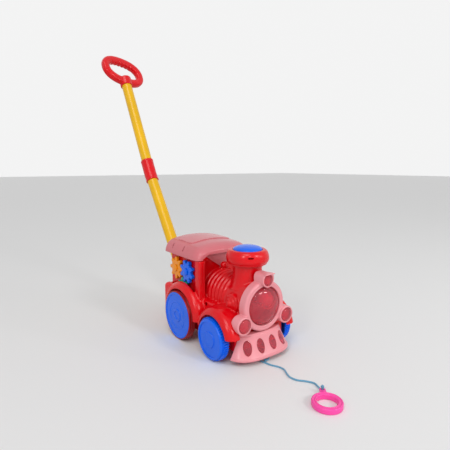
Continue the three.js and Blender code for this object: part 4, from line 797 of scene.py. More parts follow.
def saddle_form(inset):
    half, top, corner = hull.half - inset, saddle.top - inset, saddle.corner - inset / 2
    across = rounded_top(half, hull.shoulder - OVER, top, corner, 6)
    return pushed(across, "y", (saddle.front + inset, cab.front))


def boiler_form():
    drum = turned(rod(boiler.radius, boiler.front, cab.front + WALL), "y", (0, boiler.z))
    half = band.width / 2
    low = boiler.radius - WALL
    ridge = [(low, -half), *arc((boiler.radius, 0), (band.rise, half), -90, 90, 8), (low, half), (low, -half)]
    rings = turned([(r, y + band.start + half) for r, y in ridge], "y", (0, boiler.z))
    return gathered(drum, repeated(rings, trees.row, count=band.count, pitch=band.pitch, finish=red))


def neck_form(inset, top):
    radius = neck.radius - inset
    rise = neck.flare_top - neck.flare_foot
    spread_out = arc((radius + neck.flare, neck.flare_top), (neck.flare, rise), 270, 180, 14)
    profile = [(0, neck.foot), (radius + neck.flare, neck.foot), *spread_out, (radius, top), (0, top)]
    behind = block((-hull.half, hull.half), (boiler.front + inset, cab.front), (0, top))
    return kept(turned(profile, "z", (0, neck.y)), behind)


def side_boss_form():
    start = boiler.radius - 2 * WALL
    out, step, steep = side_boss.out, side_boss.step, side_boss.slope
    profile = [
        (0, start), (side_boss.radius, start), (side_boss.radius, out - 2 * step),
        (side_boss.radius - steep, out - step), (side_boss.ring, out - step),
        (side_boss.ring - steep, out), *arc((0, out), (side_boss.dome, side_boss.dome_out), 0, 90, 10),
    ]
    return both_sides(turned(profile, "x", (side_boss.y, side_boss.z), ROUND))


def column_form(inset):
    rear = pocket.front - inset if inset else cab.front + WALL
    inner, outer, front = column.inner + inset, column.outer - inset, column.front + inset
    outline = [
        (inner, rear),
        *arc((inner + column.round, front + column.round), column.round, 180, 270, 4),
        *arc((outer - column.round, front + column.round), column.round, 270, 360, 4),
        (outer, rear),
    ]
    low = column.bottom - (OVER if inset else 0)
    return both_sides(pushed(outline, "z", (low, column.top - inset)))


def column_flutes():
    """Two shallow flutes down the front of each column."""
    ridge, half = (column.inner + column.outer) / 2, column.flute_gap / 2
    flute = rod(column.flute, saddle.top, column.top - column.round)
    return [both_sides(turned(flute, "z", (x, column.front), PLAIN)) for x in (ridge - half, ridge + half)]


def knob_form():
    head = arc((0, knob.z), knob.radius, -45, 90, 14)
    profile = [(0, knob.foot), (knob.stem + knob.spread, knob.foot), (knob.stem, knob.z - knob.radius), *head]
    return turned(profile, "z", (0, knob.y), ROUND)


socket_slant = 1 / math.cos(math.radians(tube.lower_lean))
socket_foot = along_lean(bend, tube.lower_lean, (socket.bottom - bend.z) * socket_slant)
socket_length = (socket.mouth - socket.bottom) * socket_slant


def socket_form():
    lip_start = socket_length - socket.lip_height
    profile = [
        (0, -socket.floor), (socket.radius - socket.edge, -socket.floor),
        (socket.radius, socket.edge - socket.floor),
        (socket.radius, lip_start), (socket.radius + socket.lip, lip_start + socket.lip),
        (socket.radius + socket.lip, socket_length), (0, socket_length),
    ]
    mouth = along_lean(socket_foot, tube.lower_lean, lip_start)
    outline = [
        (hull.back - WALL, socket.web_foot), (hull.back + WALL, socket.web_foot),
        (socket_foot.y, socket_foot.z), (mouth.y, mouth.z),
        (hull.back - WALL, mouth.z + socket.lip_height),
    ]
    web = pushed(outline, "x", (-socket.web, socket.web))
    return gathered(leaning(profile, socket_foot, tube.lower_lean, ROUND), web)


green_turn = math.radians(gear_set.green_way)
green_reach = (window_gear.teeth + window_gear.small_teeth) * window_gear.module / 2
green_gear = Sizes(
    y=blue_gear.y + math.cos(green_turn) * green_reach,
    z=blue_gear.z + math.sin(green_turn) * green_reach,
)
yellow_gear = Sizes(y=blue_gear.y + window_gear.teeth * window_gear.module, z=blue_gear.z)
gear_face = hull.half + window_gear.air
stud_end = gear_face + window_gear.thickness + RUN


def guard_core(wheel):
    inside = hull.half - WALL
    reach = guard_inner(wheel) + guard.rise - WALL
    core = turned(rod(reach, -inside, inside), "x", (wheel.y, wheel.radius), ROUND)
    return kept(core, block((-inside, inside), (hull.front + WALL, hull.back - WALL), (0, cab.top)))


def body_hollows():
    """The space inside the skin. It is plain, because the closed body hides it."""
    reach = guard_inner(rear_wheel) + guard.rise
    room = rod(reach - WALL, hull.half, partition.inner)
    beside = turned(room, "x", (rear_wheel.y, rear_wheel.radius), ROUND)
    below = block(
        (hull.half, partition.inner), (rear_wheel.y - reach, deck.back - WALL),
        (hull.bottom, pocket.floor - WALL),
    )
    boss_reach = side_boss.out - 2 * WALL
    boss_rod = rod(side_boss.radius - WALL, -boss_reach, boss_reach)
    boss = turned(boss_rod, "x", (side_boss.y, side_boss.z), PLAIN)
    return [
        hull_form(WALL), saddle_form(WALL),
        turned(rod(boiler.radius - WALL, hull.front - OVER, cab.front), "y", (0, boiler.z)),
        neck_form(WALL, neck.top + OVER), guard_core(front_wheel), guard_core(rear_wheel), boss,
        column_form(WALL), both_sides(kept(beside, below)),
    ]


def axle_slot(wheel):
    half = axle.radius + 2 * RUN
    across = (-outer_face, outer_face)
    open_foot = block(across, (wheel.y - half, wheel.y + half), (hull.bottom - OVER, wheel.radius))
    return joined(turned(rod(half, *across), "x", (wheel.y, wheel.radius), PLAIN), open_foot)


def body_halves():
    before = block((-hull.half, hull.half), (2 * hull.front, hull.front), (0, cab.top))
    skin = gathered(
        hull_form(0), saddle_form(0), boiler_form(), neck_form(0, neck.top),
        cut(guard_form(front_wheel, 0), before), guard_form(rear_wheel, 0), deck_form(),
        side_boss_form(), column_form(0), knob_form(), socket_form(),
    )
    softened(skin, grain.body, 0)
    length = (2 * hull.front, 2 * hull.back)
    bay = block((hull.half, partition.inner), (pocket.front, pocket.back), (pocket.floor, cab.top + OVER))
    cut(
        skin, wheel_well(front_wheel, hull.half), wheel_well(rear_wheel, partition.outer),
        both_sides(block((hull.half, 2 * outer_face), length, (2 * hull.front, guard.bottom))),
        block((-outer_face, outer_face), length, (2 * hull.front, hull.bottom)), both_sides(bay),
    )
    softened(skin, grain.body, passes.usual)
    for hollow in [*column_flutes(), *body_hollows()]:
        cut(skin, hollow)
    screw_wells = [
        turned(rod(screw.head + 2 * GAP, WALL - guard.outer, side_screw.seat), "x", place, PLAIN)
        for place in side_screw_places
    ]
    mouth = leaning(rod(tube.radius + GAP, 0, socket_length + OVER), socket_foot, tube.lower_lean)
    shaft_rod = rod(shaft.radius + RUN, -shaft.bore_half, shaft.bore_half)
    shaft_bore = turned(shaft_rod, "x", (green_gear.y, green_gear.z), PLAIN)
    stud_pipe = pipe(stud.bore, stud.radius, hull.half - WALL / 2, stud_end)
    studs = [both_sides(turned(stud_pipe, "x", (gear.y, gear.z), ROUND)) for gear in (blue_gear, yellow_gear)]
    cut(skin, axle_slot(front_wheel), axle_slot(rear_wheel), mouth, shaft_bore, *screw_wells)
    for pair in studs:
        joined(skin, pair)
    right = copied(skin, "body_right")
    half_space = block((GAP / 2, 2 * outer_face), (2 * hull.front, 2 * hull.back), (0, cab.top + OVER))
    other_space = mirrored(half_space, "other")
    placed(kept(skin, half_space), "body_left", red, crease=40)
    placed(kept(right, other_space), "body_right", red, crease=40)


body_halves()

# Cab roof


def roof_height(y):
    """The roof's middle line, which falls a little to the front and to the back of its crest."""
    if y < roof.crest:
        return roof.crown - roof.front_fall * ((roof.crest - y) / roof.crest) ** 2
    return roof.crown - roof.fall * ((y - roof.crest) / (roof.back - roof.crest)) ** 2


def roof_station(end, turn, inset):
    """Place, top and half width on the roof's nose or tail, which draw in along a quarter of an oval."""
    drawn = 1 - math.cos(math.radians(turn))
    y = end.start + (end.length - inset) * math.sin(math.radians(turn))
    return y, roof_height(y) - end.drop * drawn, roof.half - end.narrow * drawn


def roof_form(inset):
    fore = [roof_station(nose, turn, inset) for turn in np.linspace(-90, 0, roof_steps.nose)]
    straight = [
        (y, roof_height(y), roof.half) for y in np.linspace(nose.start, tail.start, roof_steps.middle)[1:]
    ]
    aft = [roof_station(tail, turn, inset) for turn in np.linspace(roof_steps.tail_from, 90, roof_steps.tail)]
    shares = through(roof_shares, roof_steps.across)
    low = roof.eave - (OVER if inset > 0 else 0)
    rings = []
    for y, top, half in [*fore, *straight, *aft]:
        right = [((inset - half) * a, y, roof.eave + (top - inset - roof.eave) * b) for a, b in shares]
        right[0] = (inset - half, y, low)
        left = [(-x, y, z) for x, _, z in right[-2::-1]]
        rings.append(right + left)
    return lofted(rings)


def rounded_plan(half, front, back, corner):
    fore = arc((half - corner, front + corner), corner, -90, 0, 8)
    rear = arc((half - corner, back - corner), corner, 0, 90, 8)
    return mirrored_outline(fore + rear)


def cab_roof():
    plan = rounded_plan(panel.half, panel.front, panel.back, panel.corner)
    raised = kept(roof_form(-panel.rise), pushed(plan, "z", (roof.eave + WALL, roof.crown + OVER)))
    front = nose.start - nose.length
    opening = [(-arch.half, roof.eave - OVER), (-arch.half, arch.end), (-arch.flat_half, arch.top)]
    shell = softened(roof_form(0), grain.roof, 0)
    cut(shell, pushed(mirrored_outline(opening), "y", (front - OVER, front + arch.depth)))
    softened(shell, grain.roof_edge, passes.usual)
    joined(shell, raised)
    cut(shell, roof_form(WALL))
    slope = math.atan2(roof_slot.top_z - roof_slot.end_z, roof_slot.end_x - roof_slot.top_x)
    off_x, off_z = roof_slot.deep * math.sin(slope), roof_slot.deep * math.cos(slope)
    ends = [(roof_slot.top_x, roof_slot.top_z), (roof_slot.end_x, roof_slot.end_z)]
    outline = [(x - off_x, z - off_z) for x, z in ends] + [(x + off_x, z + off_z) for x, z in ends[::-1]]
    half = roof_slot.width / 2
    for y in (roof_slot.first_y, roof_slot.second_y):
        cut(shell, both_sides(pushed(outline, "y", (y - half, y + half))))
    tip = [
        (-visor.half, roof.crown), (-visor.half, visor.top), (-visor.shoulder_half, visor.shoulder),
        *reversed(arc((0, visor.tip + visor.tip_half), visor.tip_half, 270, 215, 3)),
    ]
    back = cab.front - GAP
    plate = pushed(mirrored_outline(tip), "y", (back - visor.thickness, back))
    half, inner = hull.half, hull.half - WALL
    rim = block((-half, half), (cab.front, hull.back), (cab.top + GAP, roof.crown))
    length, height = (cab.front + WALL, hull.back - WALL), (cab.top - OVER, roof.crown + OVER)
    cut(rim, block((-inner, inner), length, height))
    below = block((-half, half), (hull.front, hull.back), (0, roof.eave + OVER))
    within = joined(roof_form(WALL / 2), below)
    joined(shell, kept(joined(plate, rim), within))
    # The roof's pink is painted darker, as shade
    placed(shell, "roof", pink, crease=38)


cab_roof()

# Face ring, window and lamps


def lamp_seat_of(lamp):
    floor = lamp.front + lamp_seat.depth
    place = (lamp.x, lamp.z)
    seat = turned(rod(lamp.lens + GAP, lamp.front - OVER, floor), "y", place)
    return joined(seat, turned(rod(lamp.lens, floor + lamp_seat.floor, hull.front + OVER), "y", place))


def face_ring():
    back = boiler.front - GAP
    bore = pane.radius + GAP
    ledge = pane.rim + pane.foot + GAP
    spigot = boiler.radius - WALL - GAP
    groove_outer, groove_front = face.radius - WALL, face.front + face.round
    lip = (bore + face.lip, face.front)
    groove = (lip[0] + face.groove, face.front)
    profile = [
        (groove_outer, back), (face.radius, back),
        *arc((face.radius - face.round, groove_front), face.round, 0, -90, 10),
        *arc(groove, face.groove, 0, 180, 8),
        *arc((lip[0], face.front + face.bevel), (face.lip, face.bevel), -90, -180, 8), (bore, ledge),
        (bore - pane.ledge, ledge), (bore - pane.ledge, ledge + WALL),
        (spigot - face.spigot_wall, back + face.spigot), (spigot, back + face.spigot),
        (spigot, groove_front), (groove_outer, groove_front), (groove_outer, back),
    ]
    hoop = turned(profile, "y", (0, boiler.z))
    soft = low_lamp.round
    low_profile = [
        (0, hull.front - GAP), (low_lamp.radius, hull.front - GAP),
        *arc((low_lamp.radius - soft, low_lamp.front + soft), soft, 0, -90, 6),
        (0, low_lamp.front),
    ]
    low = both_sides(turned(low_profile, "y", (low_lamp.x, low_lamp.z)))
    radius, z, hood, corner = high_lamp.radius, high_lamp.z, high_lamp.hood, high_lamp.corner
    upper = mirrored_outline(arc((radius - corner, hood - corner), corner, 0, 90, 6))
    outline = arc((0, z), radius, 180, 360, 32) + upper
    high = pushed(outline, "y", (high_lamp.front, back))
    tip, root = high_lamp.front - peak.reach, high_lamp.front + peak.back
    plan = mirrored_outline([(-peak.half, tip), (peak.narrow - peak.half, root)])
    shade = pushed(plan, "z", (hood - peak.thickness, hood))
    whole = softened(gathered(hoop, low, high, shade), grain.face, 0)
    space = turned(rod(bore, face.front - OVER - high_lamp.radius, back), "y", (0, boiler.z))
    cut(whole, space)
    cut(whole, both_sides(lamp_seat_of(low_lamp)), lamp_seat_of(high_lamp))
    softened(whole, grain.face, passes.usual)
    ledge_ring = turned(pipe(bore - pane.ledge, bore + WALL, ledge, ledge + WALL), "y", (0, boiler.z))
    joined(whole, ledge_ring)
    hull_air = block(
        (-hull.half - GAP, hull.half + GAP), (hull.front - GAP, hull.front + 2 * OVER),
        (0, hull.shoulder + guard.rise + GAP),
    )
    cut(hull_air, turned(rod(spigot, hull.front - OVER, hull.back), "y", (0, boiler.z)))
    cut(whole, hull_air, guard_clearance())
    # The face ring's pink is painted paler, as light
    placed(whole, "face_ring", pink_painted_lit, crease=38)


def guard_clearance():
    length, height = (2 * hull.front, front_wheel.y), (guard.bottom - GAP, cab.top)
    beside = block((hull.half - GAP, outer_face), length, height)
    return kept(guard_form(front_wheel, GAP), both_sides(beside))


def dome(radius, rim, foot, rise, skin, x, z):
    """A thin clear dome on a short rim, bulging forwards."""
    inner = radius - skin
    profile = [
        (inner, rim + foot), (radius, rim + foot), *arc((0, rim), (radius, rise), 0, -90, 18),
        *arc((0, rim), (inner, rise - skin), -90, 0, 18), (inner, rim + foot),
    ]
    return turned(profile, "y", (x, z))


def lens_form(lamp):
    rim = lamp.front + lamp_seat.depth - GAP - lamp_seat.foot
    return dome(lamp.lens, rim, lamp_seat.foot, lamp.rise, lamp_seat.skin, lamp.x, lamp.z)


def window_and_lamps():
    window = dome(pane.radius, pane.rim, pane.foot, pane.rise, pane.skin, 0, boiler.z)
    crest = pane.rim - pane.rise * math.sqrt(1 - (pane.bead_ring / pane.radius) ** 2)
    bead = arc((pane.bead_ring, crest), pane.bead, 0, 360, 12)
    joined(window, turned(bead, "y", (0, boiler.z)))
    placed(window, "window_dome", clear_red)
    placed_pair(lens_form(low_lamp), "lamp_lens_low", clear_red)
    placed(lens_form(high_lamp), "lamp_lens_high", clear_red)
    profile = [
        *arc((0, 0), ball.radius, -90, -ball.groove_angle, 24), (ball.radius - ball.groove, 0),
        *arc((0, 0), ball.radius, ball.groove_angle, 90, 24),
    ]
    sphere = turned(profile, "z", (0, 0))
    tilt = rotation(ball.lean, "Y") @ rotation(ball.tip, "X")
    moved(sphere, Matrix.Translation((ball.x, ball.y, ball.z)) @ tilt)
    placed(sphere, "pop_ball", pale, body="ball", crease=12)


face_ring()
window_and_lamps()

# Cowcatcher


def plow_at(z):
    """Half width, depth and middle of the cowcatcher's plan at a height."""
    height = min(1, max(0, (z - plow_z.wall_foot) / (plow_z.wall_top - plow_z.wall_foot)))
    drawn = 1 - (1 - height) ** plow.flare
    sizes = zip(vars(plow_foot).values(), vars(plow_top).values())
    return [foot + (top - foot) * drawn for foot, top in sizes]


def bent(value, power):
    """A sine or cosine changed so that the oval it draws has fuller corners."""
    return math.copysign(abs(value) ** (2 / power), value)


def plow_ring(z, out):
    half, deep, middle = plow_at(z)
    places = []
    for turn in np.linspace(0, math.pi, plow.steps + 1):
        y = middle - (deep + out) * bent(abs(math.sin(turn)), plow.power)
        places.append(((half + out) * bent(math.cos(turn), plow.power), y, z))
    return places


def plow_form(inset):
    walls = [(z, -inset) for z in np.linspace(plow_z.wall_foot, plow_z.wall_top, plow.levels)]
    if inset > 0:
        walls[-1] = (plow_z.wall_top - max(0, inset - plow_out.step), -inset)
        return lofted([plow_ring(z, out) for z, out in [(plow_z.floor - OVER, -inset), *walls]])
    lip, soft = plow_out.lip - inset, plow_out.lip_round
    foot = [(plow_z.floor, lip - soft), (plow_z.floor + soft, lip), (plow_z.lip, lip)]
    step = [(plow_z.step, -plow_out.step - inset), (plow_z.top, -plow_out.step - inset)]
    return lofted([plow_ring(z, out) for z, out in [*foot, *walls, *step]])


def oval_rod(x, grow):
    half, deep, middle = plow_at(oval.z)
    power = plow.power
    out = (1 - (abs(x) / half) ** power) ** (1 / power)
    normal = (math.copysign((abs(x) / half) ** (power - 1), x) / half, out ** (power - 1) / deep)
    turn = math.degrees(math.atan2(*normal))
    radii = (oval.width / 2 + grow, oval.height / 2 + grow)
    outline = arc((0, 0), radii, 0, 360 - 360 / oval.points, oval.points - 1)
    form = pushed(outline, "y", (-oval.reach, oval.reach))
    place = Matrix.Translation((x, middle - deep * out, oval.z))
    return moved(form, place @ rotation(turn, "Z"))


def cowcatcher():
    front = block((-outer_face, outer_face), (2 * hull.front, hull.front - GAP), (0, cab.top))
    shell = kept(plow_form(0), front)
    cut(shell, *(oval_rod(x, 0) for x in oval_places))
    softened(shell, grain.plow, passes.usual)
    cut(shell, plow_form(WALL))
    cut(shell, guard_clearance())
    # The cowcatcher's pink is painted paler, as light
    placed(shell, "cowcatcher", pink_painted_lit, crease=38)
    for i, x in enumerate(oval_places):
        plug = kept(oval_rod(x, -GAP), plow_form(-oval.proud))
        cut(plug, plow_form(WALL + GAP))
        softened(plug, grain.insert, passes.soft)
        placed(plug, f"cowcatcher_insert_{i + 1}", clear_red, crease=45)


cowcatcher()

# Chimney cap and its button


def chimney_cap():
    inner, floor_top = cap.mouth + WALL, cap.bottom + WALL
    belly = (cap.lip, cap.belly)
    bulge = cap.radius - cap.lip
    wide, high = cap_edge.wide, cap_edge.high
    profile = [
        (0, cap.bottom), (neck.radius + GAP, cap.bottom), (neck.radius + GAP, cap.bottom - cap.collar),
        (inner, cap.bottom - cap.collar), (inner, cap.belly + OVER), (cap.radius - WALL, cap.belly),
        (cap.foot - WALL, cap.bottom), (cap.foot, cap.bottom),
        *arc(belly, (bulge, cap.belly - cap.bottom), -55, 0, 12),
        *arc(belly, (bulge, cap.top - cap.belly), 5, 84, 20),
        *arc((cap.mouth + wide, cap.top - high), (wide, high), 90, 180, 6), (cap.mouth, floor_top),
        (0, floor_top),
    ]
    shell = turned(profile, "z", (0, neck.y))
    half, end = cap_slot.width / 2, cap_slot.height / 2
    stadium = mirrored_outline(arc((half - end, 0), end, -90, 90, 8))
    for turn in (cap_slot.turn, cap_slot.turn + 180):
        slot = pushed(stadium, "y", (-cap.radius - OVER, cap_slot.depth - cap.radius))
        place = Matrix.Translation((0, neck.y, cap_slot.z)) @ rotation(turn, "Z")
        cut(shell, moved(slot, place))
    cut(shell, turned(rod(button.stem + RUN, cap.bottom - OVER, floor_top + OVER), "z", (0, neck.y), PLAIN))
    placed(shell, "chimney_cap", red)


def horn_button():
    """The blue button with its skirt, and its stem with a barb that holds it under the cap's floor."""
    top = cap.bottom - GAP
    crown_in = button.radius - button.skin
    stem_top = button.rim + button.rise - 2 * button.skin
    profile = [
        (0, top - barb.height), (button.stem - barb.taper, top - barb.height),
        (button.stem + barb.out, top - barb.out / 2), (button.stem + barb.out, top),
        (button.stem, top), (button.stem, stem_top),
        *arc((0, button.rim - button.skin), (crown_in, button.rise - button.skin / 2), 76, 0, 14),
        (crown_in, button.rim - button.skirt), (button.radius, button.rim - button.skirt),
        *arc((0, button.rim), (button.radius, button.rise), 0, 90, 28),
    ]
    placed(turned(profile, "z", (0, neck.y)), "horn_button", blue, body="button")


def button_spring():
    """The spring between the cap's floor and the button, made as one fixed coil."""
    low = cap.bottom + WALL + GAP + spring.radius
    high = button.rim + button.rise / 2 - button.skin - spring.radius
    wire = []
    for share in np.linspace(0, 1, spring.turns * spring.steps + 1):
        turn = 2 * math.pi * spring.turns * share
        x, y = spring.coil * math.cos(turn), neck.y + spring.coil * math.sin(turn)
        wire.append((x, y, low + (high - low) * share))
    coil = swept("spring", wire, spring.radius, spring.sides)
    placed(coil, "button_spring", steel, crease=80)
    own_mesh(coil)


chimney_cap()
horn_button()
button_spring()

# Wheels and axles

rear_rim = outer_face - cover.crown
rear_seat = rear_rim - cover.depth


def hollowed(form, wheel, inner_face, web_back, bore_end):
    room = pipe(hub.radius, wheel.radius - hub.rim_wall, inner_face - OVER, web_back)
    bore = rod(axle.radius + GAP, inner_face - OVER, bore_end)
    for profile, count in ((room, FINE), (bore, PLAIN)):
        cut(form, turned(profile, "x", (wheel.y, wheel.radius), count))
    return form


def front_wheels():
    inner_face = outer_face - front_wheel.width
    rim = front_wheel.radius - front_wheel.rim_drop
    face_x = outer_face - hub.relief
    bevel, soft = hub.bevel, hub.soft
    rim_in = rim - 2 * bevel
    profile = [
        (0, inner_face), (rim - soft, inner_face), (rim, inner_face + soft),
        *arc((rim - bevel, outer_face - bevel), bevel, 0, 90, 8),
        *arc((rim_in + soft, outer_face - soft), soft, 90, 180, 4), (rim_in, face_x),
        (hub.ring + soft, face_x), *arc((hub.ring - soft, outer_face - soft), soft, 0, 90, 4),
        (hub.ring - 3 * soft, outer_face), (hub.ring - 4 * soft, outer_face - soft),
        (0, outer_face - soft),
    ]
    wheel = turned(profile, "x", (0, 0))
    wide = math.pi * front_wheel.radius / front_wheel.ribs * rib.foot
    low, high, narrow = rim - rib.root, front_wheel.radius - rib.trim, wide * rib.top
    outline = [(low, -wide), (rim, -wide), (high, -narrow), (high, narrow), (rim, wide), (low, wide)]
    one_rib = pushed(outline, "x", (inner_face, inner_face + front_wheel.ribbed))
    ribs = repeated(one_rib, trees.wheel, count=front_wheel.ribs, full_turn=2 * math.pi, finish=blue)
    moved(joined(wheel, ribs), Matrix.Translation((0, front_wheel.y, front_wheel.radius)))
    hollowed(wheel, front_wheel, inner_face, face_x - WALL, outer_face - hub.bore_wall)
    placed_pair(wheel, "front_wheel", blue, body="front_wheels")


def rear_wheels():
    inner_face = rear_rim - rear_wheel.width
    seat = cover.radius + GAP
    radius, chamfer, half = rear_wheel.radius, rear_wheel.chamfer, rear_wheel.groove_width / 2
    tread = [(radius - chamfer, inner_face), (radius, inner_face + chamfer)]
    for share in (1 / 3, 2 / 3):
        middle = inner_face + rear_wheel.width * share
        tread += [(radius, middle - half), (radius - rear_wheel.groove, middle), (radius, middle + half)]
    tread += arc((radius - chamfer, rear_rim - chamfer), chamfer, 0, 90, 5)
    profile = [(0, inner_face), *tread, (seat, rear_rim), (seat, rear_seat), (0, rear_seat)]
    wheel = turned(profile, "x", (rear_wheel.y, rear_wheel.radius))
    hollowed(wheel, rear_wheel, inner_face, rear_seat - WALL, rear_seat - hub.bore_wall)
    # The tyres get the red painted darker, as shade
    placed_pair(wheel, "rear_wheel", tyre_red_painted_shade, body="rear_wheels")
    relief = cover.relief
    edge, dip, bead = cover.radius - cover.rim, outer_face - relief, cover.bead
    middle = edge * cover.middle + bead
    disc = [
        (0, rear_seat + GAP), (cover.radius, rear_seat + GAP),
        *arc((cover.radius - relief, dip), relief, 0, 90, 5),
        *arc((edge + relief, dip), relief, 90, 180, 5), (middle + bead, dip),
        *arc((middle, dip), (bead, relief / 2), 0, 180, 6), (cover.boss + relief, dip),
        *arc((cover.boss, dip), relief, 0, 90, 5), (cover.boss - 3 * bead, outer_face),
        (cover.boss - 4 * bead, dip), (0, dip),
    ]
    plate = turned(disc, "x", (rear_wheel.y, rear_wheel.radius))
    placed_pair(plate, "rear_wheel_cover", blue, body="rear_wheels")


front_wheels()
rear_wheels()

# Gears in the sides of the cab


def gear_points(teeth, turn):
    """Outline of a spur gear with involute flanks and rounded tips."""
    pitch = teeth * window_gear.module / 2
    base = pitch * math.cos(math.radians(window_tooth.angle))

    def involute(radius):
        pressure = math.acos(min(1, base / radius))
        return math.tan(pressure) - pressure

    at_pitch = math.pi / (2 * teeth) - window_tooth.play / (2 * pitch)
    root, tip = pitch - window_tooth.dedendum, pitch + window_tooth.addendum
    flank = [(radius, at_pitch + involute(pitch) - involute(radius)) for radius in np.linspace(root, tip, 7)]
    points = []
    for i in range(teeth):
        middle = math.radians(turn) + 2 * math.pi * i / teeth
        points += [(radius, middle - half) for radius, half in flank]
        points += [(radius, middle + half) for radius, half in reversed(flank)]
    return [(radius * math.cos(angle), radius * math.sin(angle)) for radius, angle in points]


def meshed(teeth, way, other_teeth, other_turn):
    """The turn of a gear whose teeth lie in the gaps of another one, which is the given way from it."""
    return way + 180 - 180 / teeth - (other_turn - way) * other_teeth / teeth


def window_gear_form(teeth, turn, place, bore):
    outline = [(u + place.y, v + place.z) for u, v in gear_points(teeth, turn)]
    disc = pushed(outline, "x", (gear_face, gear_face + window_gear.thickness))
    bevelled(disc, window_gear.edge, window_gear.edge_angle)
    hole = turned(rod(bore, gear_face - OVER, gear_face + 3 * OVER), "x", (place.y, place.z), PLAIN)
    return cut(disc, hole)


def side_gears():
    teeth, small = window_gear.teeth, window_gear.small_teeth
    blue_turn = gear_set.blue_turn
    yellow_turn = meshed(teeth, 0, teeth, blue_turn)
    green_phase = meshed(small, gear_set.green_way, teeth, blue_turn)
    gears = (
        ("blue_gear", teeth, blue_turn, blue_gear, stud.radius + RUN, blue),
        ("yellow_gear", teeth, yellow_turn, yellow_gear, stud.radius + RUN, orange),
        ("green_gear", small, green_phase, green_gear, shaft.radius + shaft.seat, green),
    )
    for name, count, turn, place, bore, finish in gears:
        body = "gear_shaft" if name == "green_gear" else f"{name}_*"
        placed_pair(window_gear_form(count, turn, place, bore), name, finish, body=body)
    seat = stud_end + GAP
    rim = seat + stud.rim
    profile = [
        (0, hull.half), (stud.stem, hull.half), (stud.stem, seat), (stud.head, seat), (stud.head, rim),
        *arc((0, rim), (stud.head, stud.dome), 12, 90, 10),
    ]
    for name, place, finish in (("blue_gear_cap", blue_gear, blue), ("yellow_gear_cap", yellow_gear, orange)):
        placed_pair(turned(profile, "x", (place.y, place.z), ROUND), name, finish)


side_gears()

# Handle


def handle():
    bore, radius = tube.radius - tube.wall, tube.radius
    soft = tube.wall / 3
    foot = (socket.bottom - bend.z) * socket_slant
    for name, lean, start, stop in (
        ("handle_lower_tube", tube.lower_lean, foot + GAP, -coupler.stop - GAP),
        ("handle_upper_tube", tube.upper_lean, coupler.stop + GAP, upper_reach - GAP),
    ):
        profile = [
            (bore, start), (radius - soft, start), (radius, start + soft), (radius, stop - soft),
            (radius - soft, stop), (bore, stop), (bore, start),
        ]
        placed(leaning(profile, bend, lean), name, yellow)
    meet = coupler.radius * math.tan(math.radians((tube.lower_lean - tube.upper_lean) / 2))
    lower = sleeve_profile(-coupler.below, meet)
    upper = [(r, -a) for r, a in reversed(sleeve_profile(-coupler.above, meet))]
    sleeve = joined(leaning(lower, bend, tube.lower_lean), leaning(upper, bend, tube.upper_lean))
    softened(sleeve, grain.sleeve, passes.usual)
    inner = radius + GAP
    cut(
        sleeve, leaning(rod(inner, -coupler.below - OVER, -coupler.stop), bend, tube.lower_lean),
        leaning(rod(inner, coupler.stop, coupler.above + OVER), bend, tube.upper_lean),
    )
    placed(sleeve, "handle_coupler", red, crease=45)


def sleeve_profile(end, meet):
    """Half of the coupler: a bead round its open end, and plain up to where the halves meet."""
    radius, bead, long = coupler.radius, coupler.bead, coupler.bead_length
    return [
        (0, end), (radius + bead, end), (radius + bead, end + long), (radius, end + long + bead),
        (radius, meet), (0, meet),
    ]


def full_oval(half, high, turn):
    return half * bent(math.cos(turn), grip.power), high * bent(math.sin(turn), grip.power)


def grip_loop():
    """The loop as a ring of rounded sections between its outer oval and its finger-shaped hole."""
    lean = math.radians(tube.upper_lean)
    up = np.array((0, math.sin(lean), math.cos(lean)))
    swing = math.radians(grip.turn)
    across = np.array((math.cos(swing), 0, 0)) + np.cross(up, (1, 0, 0)) * math.sin(swing)
    out = np.cross(across, up)
    centre = along_lean(bend, tube.upper_lean, grip.start + grip.high)
    middle = np.array((0, centre.y, centre.z))
    rings = []
    for turn in np.linspace(0, 2 * math.pi, grip_section.count, endpoint=False):
        outer = np.array(full_oval(grip.half, grip.high, turn))
        u, v = full_oval(grip.hole_half, grip.hole_high, turn)
        finger = grip_hole.wave * (1 - math.cos(2 * math.pi * grip_hole.waves * u / grip.hole_half)) / 2
        nub = grip_hole.nub * math.exp(-((u / grip_hole.nub_half) ** 2))
        v = v - finger * (v / grip.hole_high) ** 2 if v > 0 else v + nub * min(1, -v / grip.hole_high)
        inner = np.array((u, v))
        section = []
        for around in np.linspace(0, 2 * math.pi, grip_section.steps, endpoint=False):
            share = (1 + bent(math.cos(around), grip_section.power)) / 2
            u, v = inner + (outer - inner) * share
            deep = grip.depth / 2 * bent(math.sin(around), grip_section.power)
            section.append(middle + across * u + up * v + out * deep)
        rings.append(section)
    return lofted(rings, closed=True)


def hand_grip():
    radius, start, soft = grip_sleeve.radius, grip_sleeve.start, grip_sleeve.edge
    profile = [
        (0, start), (radius - soft, start), (radius, start + soft), (radius, upper_reach),
        (radius - grip_sleeve.crown_in, upper_reach + grip_sleeve.crown),
        (0, upper_reach + grip_sleeve.crown),
    ]
    form = gathered(grip_loop(), leaning(profile, bend, tube.upper_lean))
    softened(form, grain.grip, passes.soft)
    cut(form, leaning(rod(tube.radius + GAP, start - OVER, upper_reach), bend, tube.upper_lean))
    placed(form, "grip", red, crease=45)


handle()
hand_grip()

# Screws


